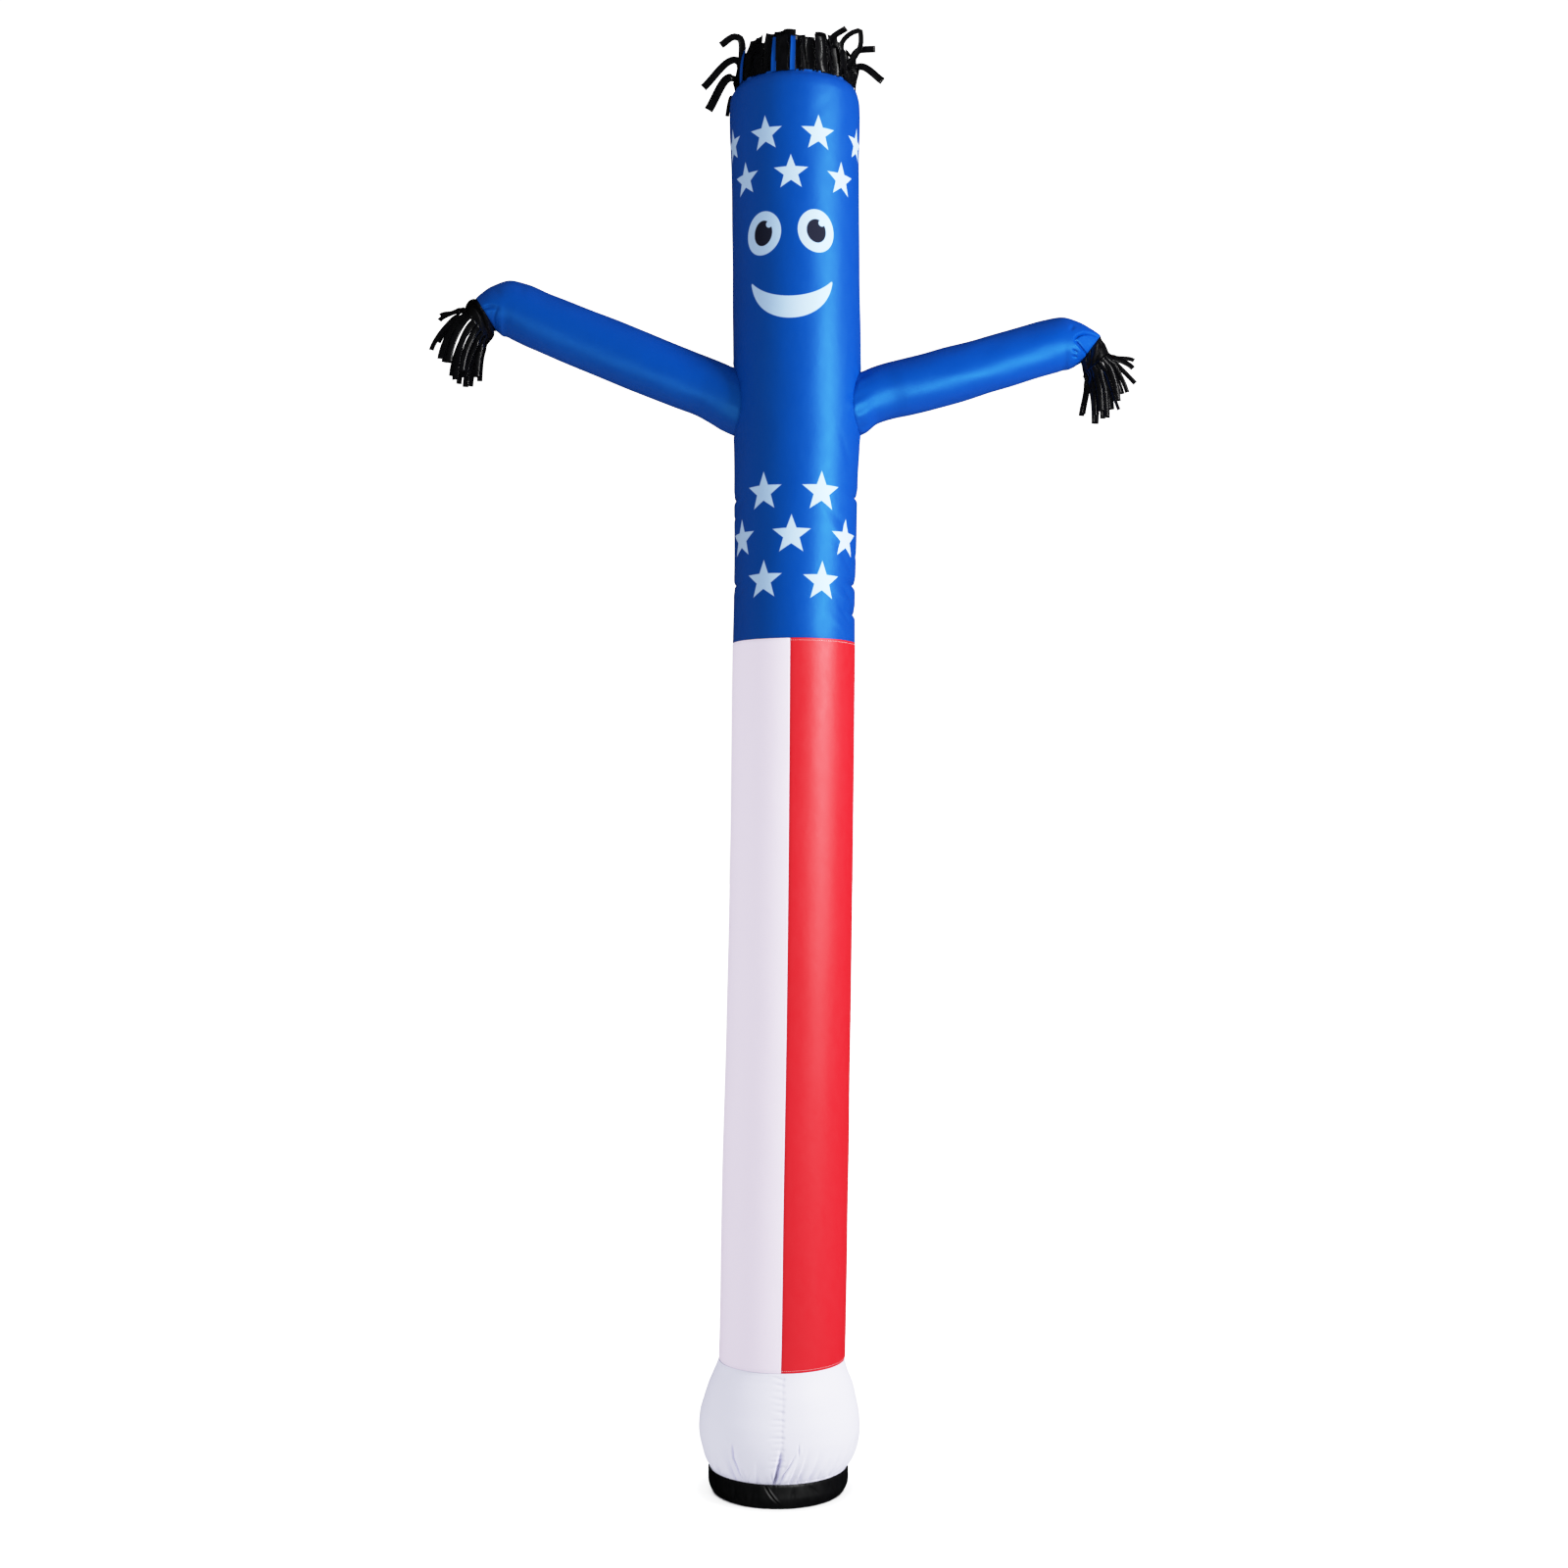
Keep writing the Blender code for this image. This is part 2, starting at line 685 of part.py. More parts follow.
def main():
    clear_scene()
    parts = new_collection("air_dancer")
    cutters = new_collection("cutters")
    blue = cloth_material("blue_nylon", BLUE, 0.42)
    white = cloth_material("white_nylon", WHITE, 0.50)
    red = cloth_material("red_nylon", RED, 0.42)
    black = cloth_material("black_vinyl", BLACK, 0.25)
    build_band(parts, black)
    build_base(parts, white)
    build_stripes(parts, white, red)
    body, envelope = build_body(parts, cutters, blue)
    arms = (
        ("left", LEFT_SLEEVE, LEFT_CUFF, LEFT_TUCKS, 3),
        ("right", RIGHT_SLEEVE, RIGHT_CUFF, RIGHT_TUCKS, 8),
    )
    for side, sleeve, cuff, tucks, seed in arms:
        build_sleeve("arm_" + side, sleeve, tucks, body, envelope, parts, cutters, blue)
        build_cuff("cuff_" + side, sleeve, cuff, tucks, parts, black)
        build_hand("fringe_" + side, cuff, seed, parts, black)
    build_hair(parts, black)
    build_blue_hair(parts, blue)


main()
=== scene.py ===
"""Looks of the inflatable air dancer: cloth, prints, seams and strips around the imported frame.

Metres, +Z up, front towards -Y. Angles round the tube are degrees from the front towards +X.
Relief is how far cloth lies inside its smooth shape, so a ridge has a negative one.
"""

import math
from collections import namedtuple
from random import Random

import bpy
import numpy as np
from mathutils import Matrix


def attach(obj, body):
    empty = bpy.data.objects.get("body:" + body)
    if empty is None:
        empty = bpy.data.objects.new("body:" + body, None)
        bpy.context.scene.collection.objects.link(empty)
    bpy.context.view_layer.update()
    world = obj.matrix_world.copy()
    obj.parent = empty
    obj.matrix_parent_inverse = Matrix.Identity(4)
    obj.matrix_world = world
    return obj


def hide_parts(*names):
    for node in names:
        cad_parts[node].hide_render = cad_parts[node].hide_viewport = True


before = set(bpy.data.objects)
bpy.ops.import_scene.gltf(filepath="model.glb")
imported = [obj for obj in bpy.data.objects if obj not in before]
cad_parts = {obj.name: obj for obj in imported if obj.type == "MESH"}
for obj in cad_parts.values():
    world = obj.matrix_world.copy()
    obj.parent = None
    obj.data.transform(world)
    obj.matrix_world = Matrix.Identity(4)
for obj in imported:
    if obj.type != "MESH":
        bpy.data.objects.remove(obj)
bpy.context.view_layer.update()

TAU = math.tau


def table(kind, *rows):
    """Rows of one kind, whose fields are then read by name."""
    return [kind(*row) for row in rows]


# ---- The tube's own sizes, as in the solids ----
SEAM = 0.0003
BAND_HEIGHT = 0.050
BAND_RADIUS = 0.1447
BASE_TOP = 0.267
STRIPE_TOP = 1.747
HEAD_TOP = 2.914
# Radii that turn angles into lengths of cloth
BODY_ARC = 0.128
BODY_MAP_ARC = 0.130
STRIPE_ARC = 0.129
BASE_ARC = 0.131
BASE_MAP_ARC = 0.15
ARMHOLE_ARC = 0.133
SLEEVE_ARC = 0.055
SLEEVE_MAP_ARC = 0.06
WRIST_ARC = 0.05

Section = namedtuple("Section", "z axis_x radius")
TUBE = table(
    Section,
    (0.04, 0.0, 0.1414), (0.0515, 0.0, 0.1414), (0.059, 0.001, 0.148), (0.076, 0.002, 0.157),
    (0.1, 0.003, 0.164), (0.128, 0.003, 0.167), (0.156, 0.003, 0.165), (0.186, 0.004, 0.158),
    (0.214, 0.005, 0.15), (0.238, 0.005, 0.14), (0.254, 0.006, 0.134), (BASE_TOP, 0.007, 0.131),
    (0.6, 0.014, 0.131), (0.964, 0.022, 0.129), (1.331, 0.028, 0.128), (STRIPE_TOP, 0.033, 0.128),
    (1.84, 0.034, 0.127), (1.971, 0.036, 0.128), (2.09, 0.037, 0.129), (2.18, 0.039, 0.132),
    (2.33, 0.039, 0.134), (2.588, 0.037, 0.133), (2.75, 0.036, 0.134), (2.85, 0.035, 0.137),
    (2.88, 0.035, 0.136), (2.896, 0.035, 0.133), (2.905, 0.036, 0.1285),
    (HEAD_TOP - 0.003, 0.036, 0.124), (HEAD_TOP, 0.036, 0.124),
)

# Each cut across a sleeve: its top and low ends, and half its depth from front to back
Cut = namedtuple("Cut", "top_x top_z low_x low_z half_depth")
LEFT_SLEEVE = table(
    Cut,
    (-0.05, 2.306, -0.066, 2.172, 0.066), (-0.1, 2.33, -0.118, 2.196, 0.065),
    (-0.12, 2.339, -0.146, 2.213, 0.063), (-0.142, 2.348, -0.176, 2.229, 0.061),
    (-0.169, 2.358, -0.214, 2.243, 0.061), (-0.276, 2.401, -0.321, 2.285, 0.062),
    (-0.4, 2.451, -0.445, 2.337, 0.061), (-0.482, 2.484, -0.527, 2.372, 0.061),
    (-0.523, 2.502, -0.556, 2.386, 0.061), (-0.561, 2.511, -0.576, 2.395, 0.06),
    (-0.6, 2.499, -0.587, 2.402, 0.056), (-0.635, 2.475, -0.593, 2.407, 0.05),
)
RIGHT_SLEEVE = table(
    Cut,
    (0.125, 2.302, 0.132, 2.168, 0.066), (0.172, 2.317, 0.184, 2.19, 0.063),
    (0.194, 2.327, 0.209, 2.209, 0.06), (0.22, 2.336, 0.242, 2.22, 0.058),
    (0.249, 2.343, 0.279, 2.228, 0.06), (0.321, 2.362, 0.353, 2.248, 0.06),
    (0.424, 2.388, 0.456, 2.28, 0.058), (0.516, 2.414, 0.545, 2.307, 0.057),
    (0.558, 2.426, 0.582, 2.318, 0.057), (0.594, 2.432, 0.604, 2.324, 0.056),
    (0.63, 2.422, 0.62, 2.329, 0.053), (0.655, 2.409, 0.628, 2.334, 0.048),
    (0.677, 2.395, 0.635, 2.338, 0.043),
)
LEFT_CUFF = table(
    Cut,
    (-0.648, 2.466, -0.601, 2.395, 0.046), (-0.662, 2.453, -0.608, 2.382, 0.042),
)
RIGHT_CUFF = table(Cut, (0.686, 2.376, 0.638, 2.324, 0.041), (0.694, 2.354, 0.641, 2.308, 0.038))

# Seams down the tube, as angles
BASE_SEAM = 1.5
STRIPE_SEAM_BOTTOM = -0.4
STRIPE_SEAM_TOP = -3.7

# ---- Print: stars on the front half, which the back half repeats, and the face ----
Star = namedtuple("Star", "angle z size")
STARS = table(
    Star,
    (-72.5, 2.782, 0.037), (-27.2, 2.781, 0.0375), (20.5, 2.78, 0.038), (69.5, 2.781, 0.037),
    (-50.8, 2.6975, 0.037), (-4.4, 2.6975, 0.037), (44.6, 2.694, 0.0375), (-31.2, 2.0465, 0.0415),
    (23.8, 2.0455, 0.0428), (-60.0, 1.956, 0.0415), (-4.0, 1.9565, 0.0415), (53.0, 1.954, 0.042),
    (-30.2, 1.8655, 0.0415), (25.6, 1.8625, 0.042),
)
STAR_WAIST = 0.42  # radius of a star's inner corners, as a share of its outer ones
STAR_SIZE = 0.040  # of a usual star, for the softness of its edge
FACE_RADIUS = 0.1335
FACE_Z = 2.5
EDGE = 0.0006  # how softly a print ends
PRINT_WHITE = (0.52, 0.69, 0.95)
PRINT_BLACK = (0.018, 0.0045, 0.0065)
INK_ROUGH = 0.95
# White ovals and pupils are given by half their axes; a notch bites each pupil
Eye = namedtuple("Eye", "x z tilt white pupil_tilt pupil notch_x notch_z")
EYES = table(
    Eye,
    (-0.0719, 2.5775, 13.0, (0.0403, 0.0452), 7, (0.0212, 0.0262), -0.0575, 2.5945),
    (0.0424, 2.579, -11.5, (0.0392, 0.0444), -12, (0.0208, 0.0244), 0.054, 2.596),
)
NOTCH_RADIUS = 0.0070
MOUTH_X = -0.0128
MOUTH_LOW = (2.4900, 0.0911)  # height of the centre, and radius, of the lower arc
MOUTH_HIGH = (2.5740, 0.1300)
MOUTH_ROUND = 0.0045

# ---- Folds: tilt is the rise from level, reach half the length, bow the bend ----
Fold = namedtuple("Fold", "angle z tilt reach width depth bow", defaults=[0.0])
BODY_FOLDS = table(
    Fold,
    # notches where the tube gives under its own sway
    (92, 1.8665, 0, 0.105, 0.004, 0.0068, 0.05), (92, 1.805, -4, 0.09, 0.004, 0.0056, -0.05),
    (92, 2.0505, 3, 0.085, 0.0038, 0.0054, 0.03), (-92, 2.045, 0, 0.065, 0.0038, 0.0042, 0.02),
    (-92, 2.008, 0, 0.05, 0.0035, 0.002, 0.02), (-90, 1.868, 2, 0.075, 0.0038, 0.004, -0.02),
    (96, 1.928, 0, 0.06, 0.006, 0.0016, 0.0),
    # soft slanting folds that run from the notches to the front
    (46, 1.99, -30, 0.085, 0.01, 0.0013, 0.1), (50, 1.95, -38, 0.09, 0.009, -0.0013, 0.1),
    (56, 1.908, -42, 0.075, 0.008, 0.0015, 0.1), (62, 1.842, -32, 0.06, 0.006, 0.0018, -0.1),
    (56, 1.83, -28, 0.06, 0.006, -0.0012, -0.1), (58, 1.795, -36, 0.055, 0.006, 0.0015, 0.1),
    (48, 1.775, -30, 0.06, 0.007, -0.001, 0.1), (-60, 1.85, 30, 0.05, 0.007, 0.0009, 0.1),
    (-64, 2.03, 26, 0.045, 0.007, 0.0009, 0.1),
    # long faint ones on the head and the trunk
    (58, 2.83, 62, 0.07, 0.011, 0.001, 0.0), (66, 2.81, 70, 0.07, 0.01, -0.001, 0.0),
    (30, 2.85, 40, 0.06, 0.012, 0.0007, 0.0), (50, 2.14, -60, 0.06, 0.008, 0.0009, 0.0),
)
BAND_FOLDS = table(
    Fold,
    (-6, 0.03, -52, 0.03, 0.0018, 0.0018, 0.1), (-3.6, 0.028, -52, 0.028, 0.0014, -0.0014, 0.1),
    (-38, 0.024, 78, 0.026, 0.005, 0.0009, 0.0), (-22, 0.02, 70, 0.022, 0.0045, 0.0008, 0.0),
    (12, 0.022, 80, 0.024, 0.0045, 0.0009, 0.0), (30, 0.034, -40, 0.026, 0.0035, 0.0008, 0.0),
    (52, 0.024, -60, 0.026, 0.004, 0.0009, 0.0), (74, 0.026, 70, 0.022, 0.0045, 0.0009, 0.0),
    (-64, 0.03, -60, 0.024, 0.0045, 0.0009, 0.0), (110, 0.026, 60, 0.026, 0.0045, 0.001, 0.0),
    (150, 0.024, -66, 0.026, 0.0045, 0.001, 0.0), (190, 0.028, 72, 0.026, 0.0045, 0.001, 0.0),
    (235, 0.024, -55, 0.026, 0.0045, 0.001, 0.0),
)
# On a sleeve z is the length left to the wrist
SLEEVE_FOLDS = {
    "left": table(
        Fold,
        (96, 0.01, 70, 0.04, 0.005, 0.003), (60, 0.03, 30, 0.03, 0.005, 0.0012),
        (120, 0.025, -30, 0.03, 0.004, 0.0014), (140, 0.018, -20, 0.022, 0.003, 0.0012),
        (40, 0.07, 20, 0.05, 0.01, 0.001),
    ),
    "right": table(
        Fold,
        (64, 0.047, 20, 0.016, 0.0034, 0.0022), (121, 0.04, -62, 0.012, 0.0028, 0.0022),
        (136, 0.038, -66, 0.014, 0.0028, 0.002), (152, 0.018, -70, 0.018, 0.0028, 0.0016),
    ),
}
Pinch = namedtuple("Pinch", "z angle spread depth half_height")
PINCHES = table(
    Pinch,
    (1.812, 86, 46, 0.0022, 0.018), (1.87, 86, 50, 0.0024, 0.02), (2.056, 88, 46, 0.0022, 0.018),
    (2.05, -88, 32, 0.0014, 0.018), (1.862, -84, 36, 0.0012, 0.018),
)
Gather = namedtuple("Gather", "angle spread depth reach lean")
GATHERS = table(
    Gather,
    (-74, 5, 0.003, 0.05, -0.2), (-56, 4, 0.0022, 0.04, 0.1), (-36, 3.2, 0.0042, 0.075, -0.9),
    (-30, 2.6, 0.0016, 0.04, -0.7), (-17, 3.6, 0.002, 0.046, 0.2), (-3.5, 2.8, 0.0062, 0.07, 0.8),
    (2.5, 2.4, -0.0022, 0.05, 0.9), (9, 3.0, 0.0026, 0.052, 0.9), (15, 2.6, 0.0022, 0.066, 0.9),
    (24, 3.0, 0.0028, 0.062, 1.0), (34, 3.2, 0.002, 0.056, 1.1), (44, 4.0, 0.003, 0.06, 1.0),
    (55, 3.4, 0.0024, 0.058, 0.9), (66, 4.4, 0.0034, 0.064, 0.7), (84, 5, 0.003, 0.05, 0.3),
)
Crease = namedtuple("Crease", "path width depth")  # path: angle and height, from the top down
CREASES = table(
    Crease,
    ([(-34.3, 0.131), (-33.9, 0.103), (-31.8, 0.086), (-30.5, 0.069), (-28.9, 0.056)],
     0.0018, 0.0085),
    ([(1.0, 0.122), (0.6, 0.102), (-0.8, 0.085), (-2.2, 0.063), (-3.8, 0.05)], 0.0021, 0.0095),
    ([(-5.8, 0.078), (-4.0, 0.05)], 0.0017, 0.007),
    ([(13.3, 0.137), (13.3, 0.115)], 0.0016, 0.004),
    ([(11.3, 0.116), (3.7, 0.074), (2.1, 0.054)], 0.0018, 0.004),
    ([(56.6, 0.078), (45.6, 0.05)], 0.0022, 0.004),
)

# Sums of waves: turns are the waves round the cloth, and rises those in a metre up it
Field = namedtuple("Field", "seed count turns rises size")
BODY_WAVES = table(
    Field,
    (21, 9, (1, 5), (0.4, 2.2), 0.00065), (22, 14, (3, 12), (1.5, 7.0), 0.00022),
)
STRIPE_WAVES = table(
    Field,
    (23, 8, (1, 4), (0.3, 1.6), 0.0006), (24, 14, (3, 10), (1.0, 5.0), 0.00018),
)
BASE_WAVES = table(Field, (25, 9, (1, 5), (1.0, 6.0), 0.0008))
BAND_WAVES = table(Field, (27, 10, (2, 9), (2.0, 12.0), 0.0005))
SLEEVE_WAVES = table(
    Field,
    (0, 8, (1, 4), (0.8, 4.0), 0.0008), (1, 12, (3, 9), (3.0, 12.0), 0.00025),
)
SLEEVE_SEEDS = {"left": 71, "right": 81}
CUFF_WAVES = table(Field, (0, 4, (1, 4), (4.0, 14.0), 1.0))
CUFF_SEEDS = {"left": 91, "right": 95}

COLUMNS = 240  # round the tube
BASE_COLUMNS = 441  # of one panel
ROW = 0.0032  # height of one row of the upper tube's mesh
STRIPE_ROW = 0.0045


# ---- Numbers ----
def curve(rows, at):
    """Every column after the first, read at values of the first, on cubics without overshoot."""
    rows = np.array(rows, float)
    keys, values = rows[:, 0], rows[:, 1:]
    at = np.clip(np.asarray(at, float), keys[0], keys[-1])
    gaps = np.diff(keys)[:, None]
    steps = np.diff(values, axis=0) / gaps
    before = np.vstack([steps[:1], steps])
    after = np.vstack([steps, steps[-1:]])
    both = before * after
    slopes = np.where(both > 0, 2 * both / np.where(both > 0, before + after, 1), 0)
    k = np.clip(np.searchsorted(keys, at, side="right") - 1, 0, len(keys) - 2)
    t = ((at - keys[k]) / gaps[k, 0])[..., None]
    span = gaps[k, 0][..., None]
    rise = values[k + 1] - values[k]
    bend = slopes[k] * span * t * (1 - t) ** 2 - slopes[k + 1] * span * t**2 * (1 - t)
    return values[k] + rise * t**2 * (3 - 2 * t) + bend


def bump(distance):
    """A smooth hump, 1 at 0 and 0 from 1 on."""
    return np.cos(np.minimum(np.abs(distance), 1) * math.pi / 2) ** 2


def turn_between(a, b):
    return (a - b + 180) % 360 - 180


def waves(angle, z, fields, seed=0):
    """Smooth waves of the cloth, from a table of fields."""
    relief = 0
    for field in fields:
        chance = Random(field.seed + seed)
        total = squares = 0
        for _ in range(field.count):
            around = chance.randint(*field.turns) * chance.choice((-1, 1))
            up, phase = chance.uniform(*field.rises) * TAU, chance.uniform(0, TAU)
            weight = chance.uniform(0.4, 1.0)
            total = total + weight * np.cos(around * np.radians(angle) + up * z + phase)
            squares += weight**2
        relief = relief + field.size * total / math.sqrt(squares)
    return relief


def fold_relief(folds, angle, z, radius):
    """How far in the cloth lies because of a table of folds."""
    depth = np.zeros(np.broadcast(angle, z).shape)
    for fold in folds:
        aside = np.radians(turn_between(angle, fold.angle)) * radius
        rise = z - fold.z
        cos, sin = math.cos(math.radians(fold.tilt)), math.sin(math.radians(fold.tilt))
        along = aside * cos + rise * sin
        across = rise * cos - aside * sin - fold.bow * along**2 / fold.reach
        shape = np.exp(-((across / fold.width) ** 2)) * bump(along / fold.reach)
        depth += fold.depth * shape
    return depth


def sewn(distance, along, seed, pucker=0.0006, pitch=0.021, reach=0.010):
    """The dip at a seam and the small puckers beside it."""
    chance = Random(seed)
    shift = [chance.uniform(0, TAU) for _ in range(3)]
    beat = 0.5 + 0.25 * np.sin(TAU * along / pitch + shift[0])
    beat = beat + 0.25 * np.sin(TAU * along / (pitch * 0.61) + shift[1])
    swell = 0.6 + 0.4 * np.sin(TAU * along / (pitch * 6.3) + shift[2])
    return 0.0009 * np.exp(-((distance / 0.0026) ** 2)) + pucker * beat * swell * np.exp(
        -distance / reach
    )


def outwards(angle):
    """The direction out of the tube."""
    turn = np.radians(angle)
    return np.stack([np.sin(turn), -np.cos(turn), 0 * turn], -1)


def tube_at(angle, z, relief=0.0):
    """Points of the tube's outer face, with a relief that lies inwards."""
    turn = np.radians(angle)
    axis_x, radius = np.moveaxis(curve(TUBE, z), -1, 0)
    reach = radius - relief
    return np.stack([axis_x + reach * np.sin(turn), -reach * np.cos(turn), z + 0 * turn], -1)


def radius_at(z):
    return curve(TUBE, z)[..., 1]


def unit(vectors):
    return vectors / np.maximum(np.linalg.norm(vectors, axis=-1, keepdims=True), 1e-9)


def lengths(path):
    """How far along a path each of its points lies."""
    return np.concatenate([[0], np.cumsum(np.linalg.norm(np.diff(path, axis=0), axis=1))])


def closer_together(first, last, begin, end, times, count):
    """Angles from first to last, that many times closer together between begin and end."""
    turn = np.linspace(first, last, 2001)
    share = np.cumsum(np.where((turn > begin) & (turn < end), times, 1.0))
    return np.interp(np.linspace(share[0], share[-1], count), share, turn)


def finish_piece(made, *nodes):
    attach(made, "root")
    if nodes:
        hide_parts(*nodes)
    return made


def placed(name, data):
    made = bpy.data.objects.new(name, data)
    bpy.context.scene.collection.objects.link(made)
    return made


def new_object(name, points, faces, material, uvs):
    """Faces has a row of corners for each face; uvs gives each corner's place by map name."""
    data = bpy.data.meshes.new(name)
    count, sides = faces.shape
    data.vertices.add(len(points))
    data.vertices.foreach_set("co", np.asarray(points, np.float32).ravel())
    data.loops.add(count * sides)
    data.loops.foreach_set("vertex_index", faces.astype(np.int32).ravel())
    data.polygons.add(count)
    data.polygons.foreach_set("loop_start", np.arange(0, count * sides, sides, np.int32))
    data.polygons.foreach_set("use_smooth", np.ones(count, bool))
    data.materials.append(material)
    for key, places in uvs.items():
        layer = data.uv_layers.new(name=key, do_init=False)
        layer.uv.foreach_set("vector", np.asarray(places, np.float32).ravel())
    data.update(calc_edges=True)
    data.validate()
    return placed(name, data)


def grid_faces(rows, columns, closed):
    """Points of each of a grid's quads, and their corners in the same grid once it is widened."""
    wide = columns + closed
    row, column = (index.ravel() for index in np.mgrid[0 : rows - 1, 0 : wide - 1])
    steps = [(0, 0), (0, 1), (1, 1), (1, 0)]
    ends = np.stack([(row + up) * columns + (column + over) % columns for up, over in steps], 1)
    corners = np.stack([(row + up) * wide + column + over for up, over in steps], 1)
    return ends, corners


def widened(grid, turn=0):
    """A grid with its first column again after its last one."""
    return np.concatenate([grid, grid[:, :1] + turn], 1)


def cloth_map(angle, radius, up, closed=True):
    """Each corner's place on the cloth, across and up."""
    if closed:
        angle, up = widened(angle, 360), widened(up)
    return np.stack([np.radians(angle) * radius, up], -1)


def cloth(name, node, points, material, places, closed=True, flip=False, keep=None, **more):
    """A sheet through a grid of points. Places gives what cloth_map needs; more maps are grids,
    or give the places of corners. Keep drops faces; flip turns them round."""
    rows, columns = points.shape[:2]
    faces, corners = grid_faces(rows, columns, closed)
    if keep is not None:
        faces, corners = faces[keep], corners[keep]
    if flip:
        faces, corners = faces[:, ::-1], corners[:, ::-1]
    used = np.unique(faces)
    new_index = np.full(rows * columns, -1)
    new_index[used] = np.arange(len(used))
    uvs = {
        key: grid(corners) if callable(grid) else grid.reshape(-1, 2)[corners.ravel()]
        for key, grid in {"Cloth": cloth_map(*places, closed), **more}.items()
    }
    made = new_object(name, points.reshape(-1, 3)[used], new_index[faces], material, uvs)
    return finish_piece(made, node)


# ---- Materials ----
class Value:
    """A node's output, which can be written in sums."""

    def __init__(self, tree, socket):
        self.tree, self.socket = tree, socket

    def apply(self, operation, *others):
        return self.tree.math(operation, self, *others)

    def __add__(self, other):
        return self.apply("ADD", other)

    def __sub__(self, other):
        return self.apply("SUBTRACT", other)

    def __mul__(self, other):
        return self.apply("MULTIPLY", other)

    def __neg__(self):
        return self * -1.0

    def max(self, other):
        return self.apply("MAXIMUM", other)


class Tree:
    """The node tree of a world or a material, written as expressions."""

    def __init__(self, owner):
        owner.use_nodes = True
        self.tree = owner.node_tree

    def put(self, socket, value):
        if isinstance(value, Value):
            self.tree.links.new(value.socket, socket)
        else:
            socket.default_value = (*value, 1) if socket.type == "RGBA" else value

    def node(self, kind, inputs=None, **settings):
        made = self.tree.nodes.new(kind)
        for key, setting in settings.items():
            setattr(made, key, setting)
        for key, value in (inputs or {}).items():
            self.put(made.inputs[key], value)
        return made

    def value(self, kind, inputs=None, output=0, **settings):
        return Value(self, self.node(kind, inputs, **settings).outputs[output])

    def split(self, vector):
        made = self.node("ShaderNodeSeparateXYZ", {0: vector})
        return [Value(self, output) for output in made.outputs]

    def math(self, operation, *values):
        return self.value("ShaderNodeMath", dict(enumerate(values)), operation=operation)


class Shader(Tree):
    """A material."""

    def __init__(self, name):
        self.material = bpy.data.materials.new(name)
        super().__init__(self.material)

    def set(self, **values):
        for key, value in values.items():
            self.put(self.tree.nodes["Principled BSDF"].inputs[key.replace("_", " ")], value)

    def place(self, uv_name):
        return self.split(self.value("ShaderNodeUVMap", uv_map=uv_name))[:2]

    def in_object(self):
        return self.value("ShaderNodeTexCoord", output="Object")

    def noise(self, scale, detail, stretch=(1, 1, 1)):
        where = self.value("ShaderNodeMapping", {"Scale": stretch, "Vector": self.in_object()})
        inputs = {"Scale": scale, "Detail": detail, "Roughness": 0.5, "Vector": where}
        return self.value("ShaderNodeTexNoise", inputs, "Fac")

    def ramp(self, value, low, high, to_low=0.0, to_high=1.0, kind="LINEAR"):
        inputs = dict(enumerate((value, low, high, to_low, to_high)))
        return self.value("ShaderNodeMapRange", inputs, clamp=True, interpolation_type=kind)

    def mix(self, share, a, b):
        return self.value("ShaderNodeMix", {0: share, 6: a, 7: b}, 2, data_type="RGBA")

    def bump(self, height, distance, strength, **under):
        inputs = {"Distance": distance, "Strength": strength, "Height": height, **under}
        return self.value("ShaderNodeBump", inputs)


def hypot(x, y):
    return (x * x + y * y).apply("SQRT")


def circle(x, y, centre_x, centre_y, radius):
    """Signed distance to a circle, negative inside."""
    return hypot(x - centre_x, y - centre_y) - radius


def ellipse(x, y, centre_x, centre_y, axes, tilt):
    """Roughly the signed distance to an ellipse whose long axis leans by tilt from upright."""
    cos, sin = math.cos(math.radians(tilt)), math.sin(math.radians(tilt))
    dx, dy = x - centre_x, y - centre_y
    a = (dx * cos - dy * sin).apply("DIVIDE", axes[0])
    b = (dx * sin + dy * cos).apply("DIVIDE", axes[1])
    return (hypot(a, b) - 1.0) * ((axes[0] + axes[1]) / 2)


def star(x, y):
    """Signed distance to a star with its first point up, in units of its radius."""
    fifth = TAU / 5
    turn = x.apply("ARCTAN2", y) + (TAU + fifth / 2)
    folded = turn.apply("MODULO", fifth) - fifth / 2
    reach = hypot(x, y)
    along = reach * folded.apply("COSINE")
    aside = reach * folded.apply("SINE").apply("ABSOLUTE")
    inner_x = STAR_WAIST * math.cos(fifth / 2)
    inner_y = STAR_WAIST * math.sin(fifth / 2)
    size = math.hypot(inner_y, 1 - inner_x)
    return (along - 1.0) * (inner_y / size) + aside * ((1 - inner_x) / size)


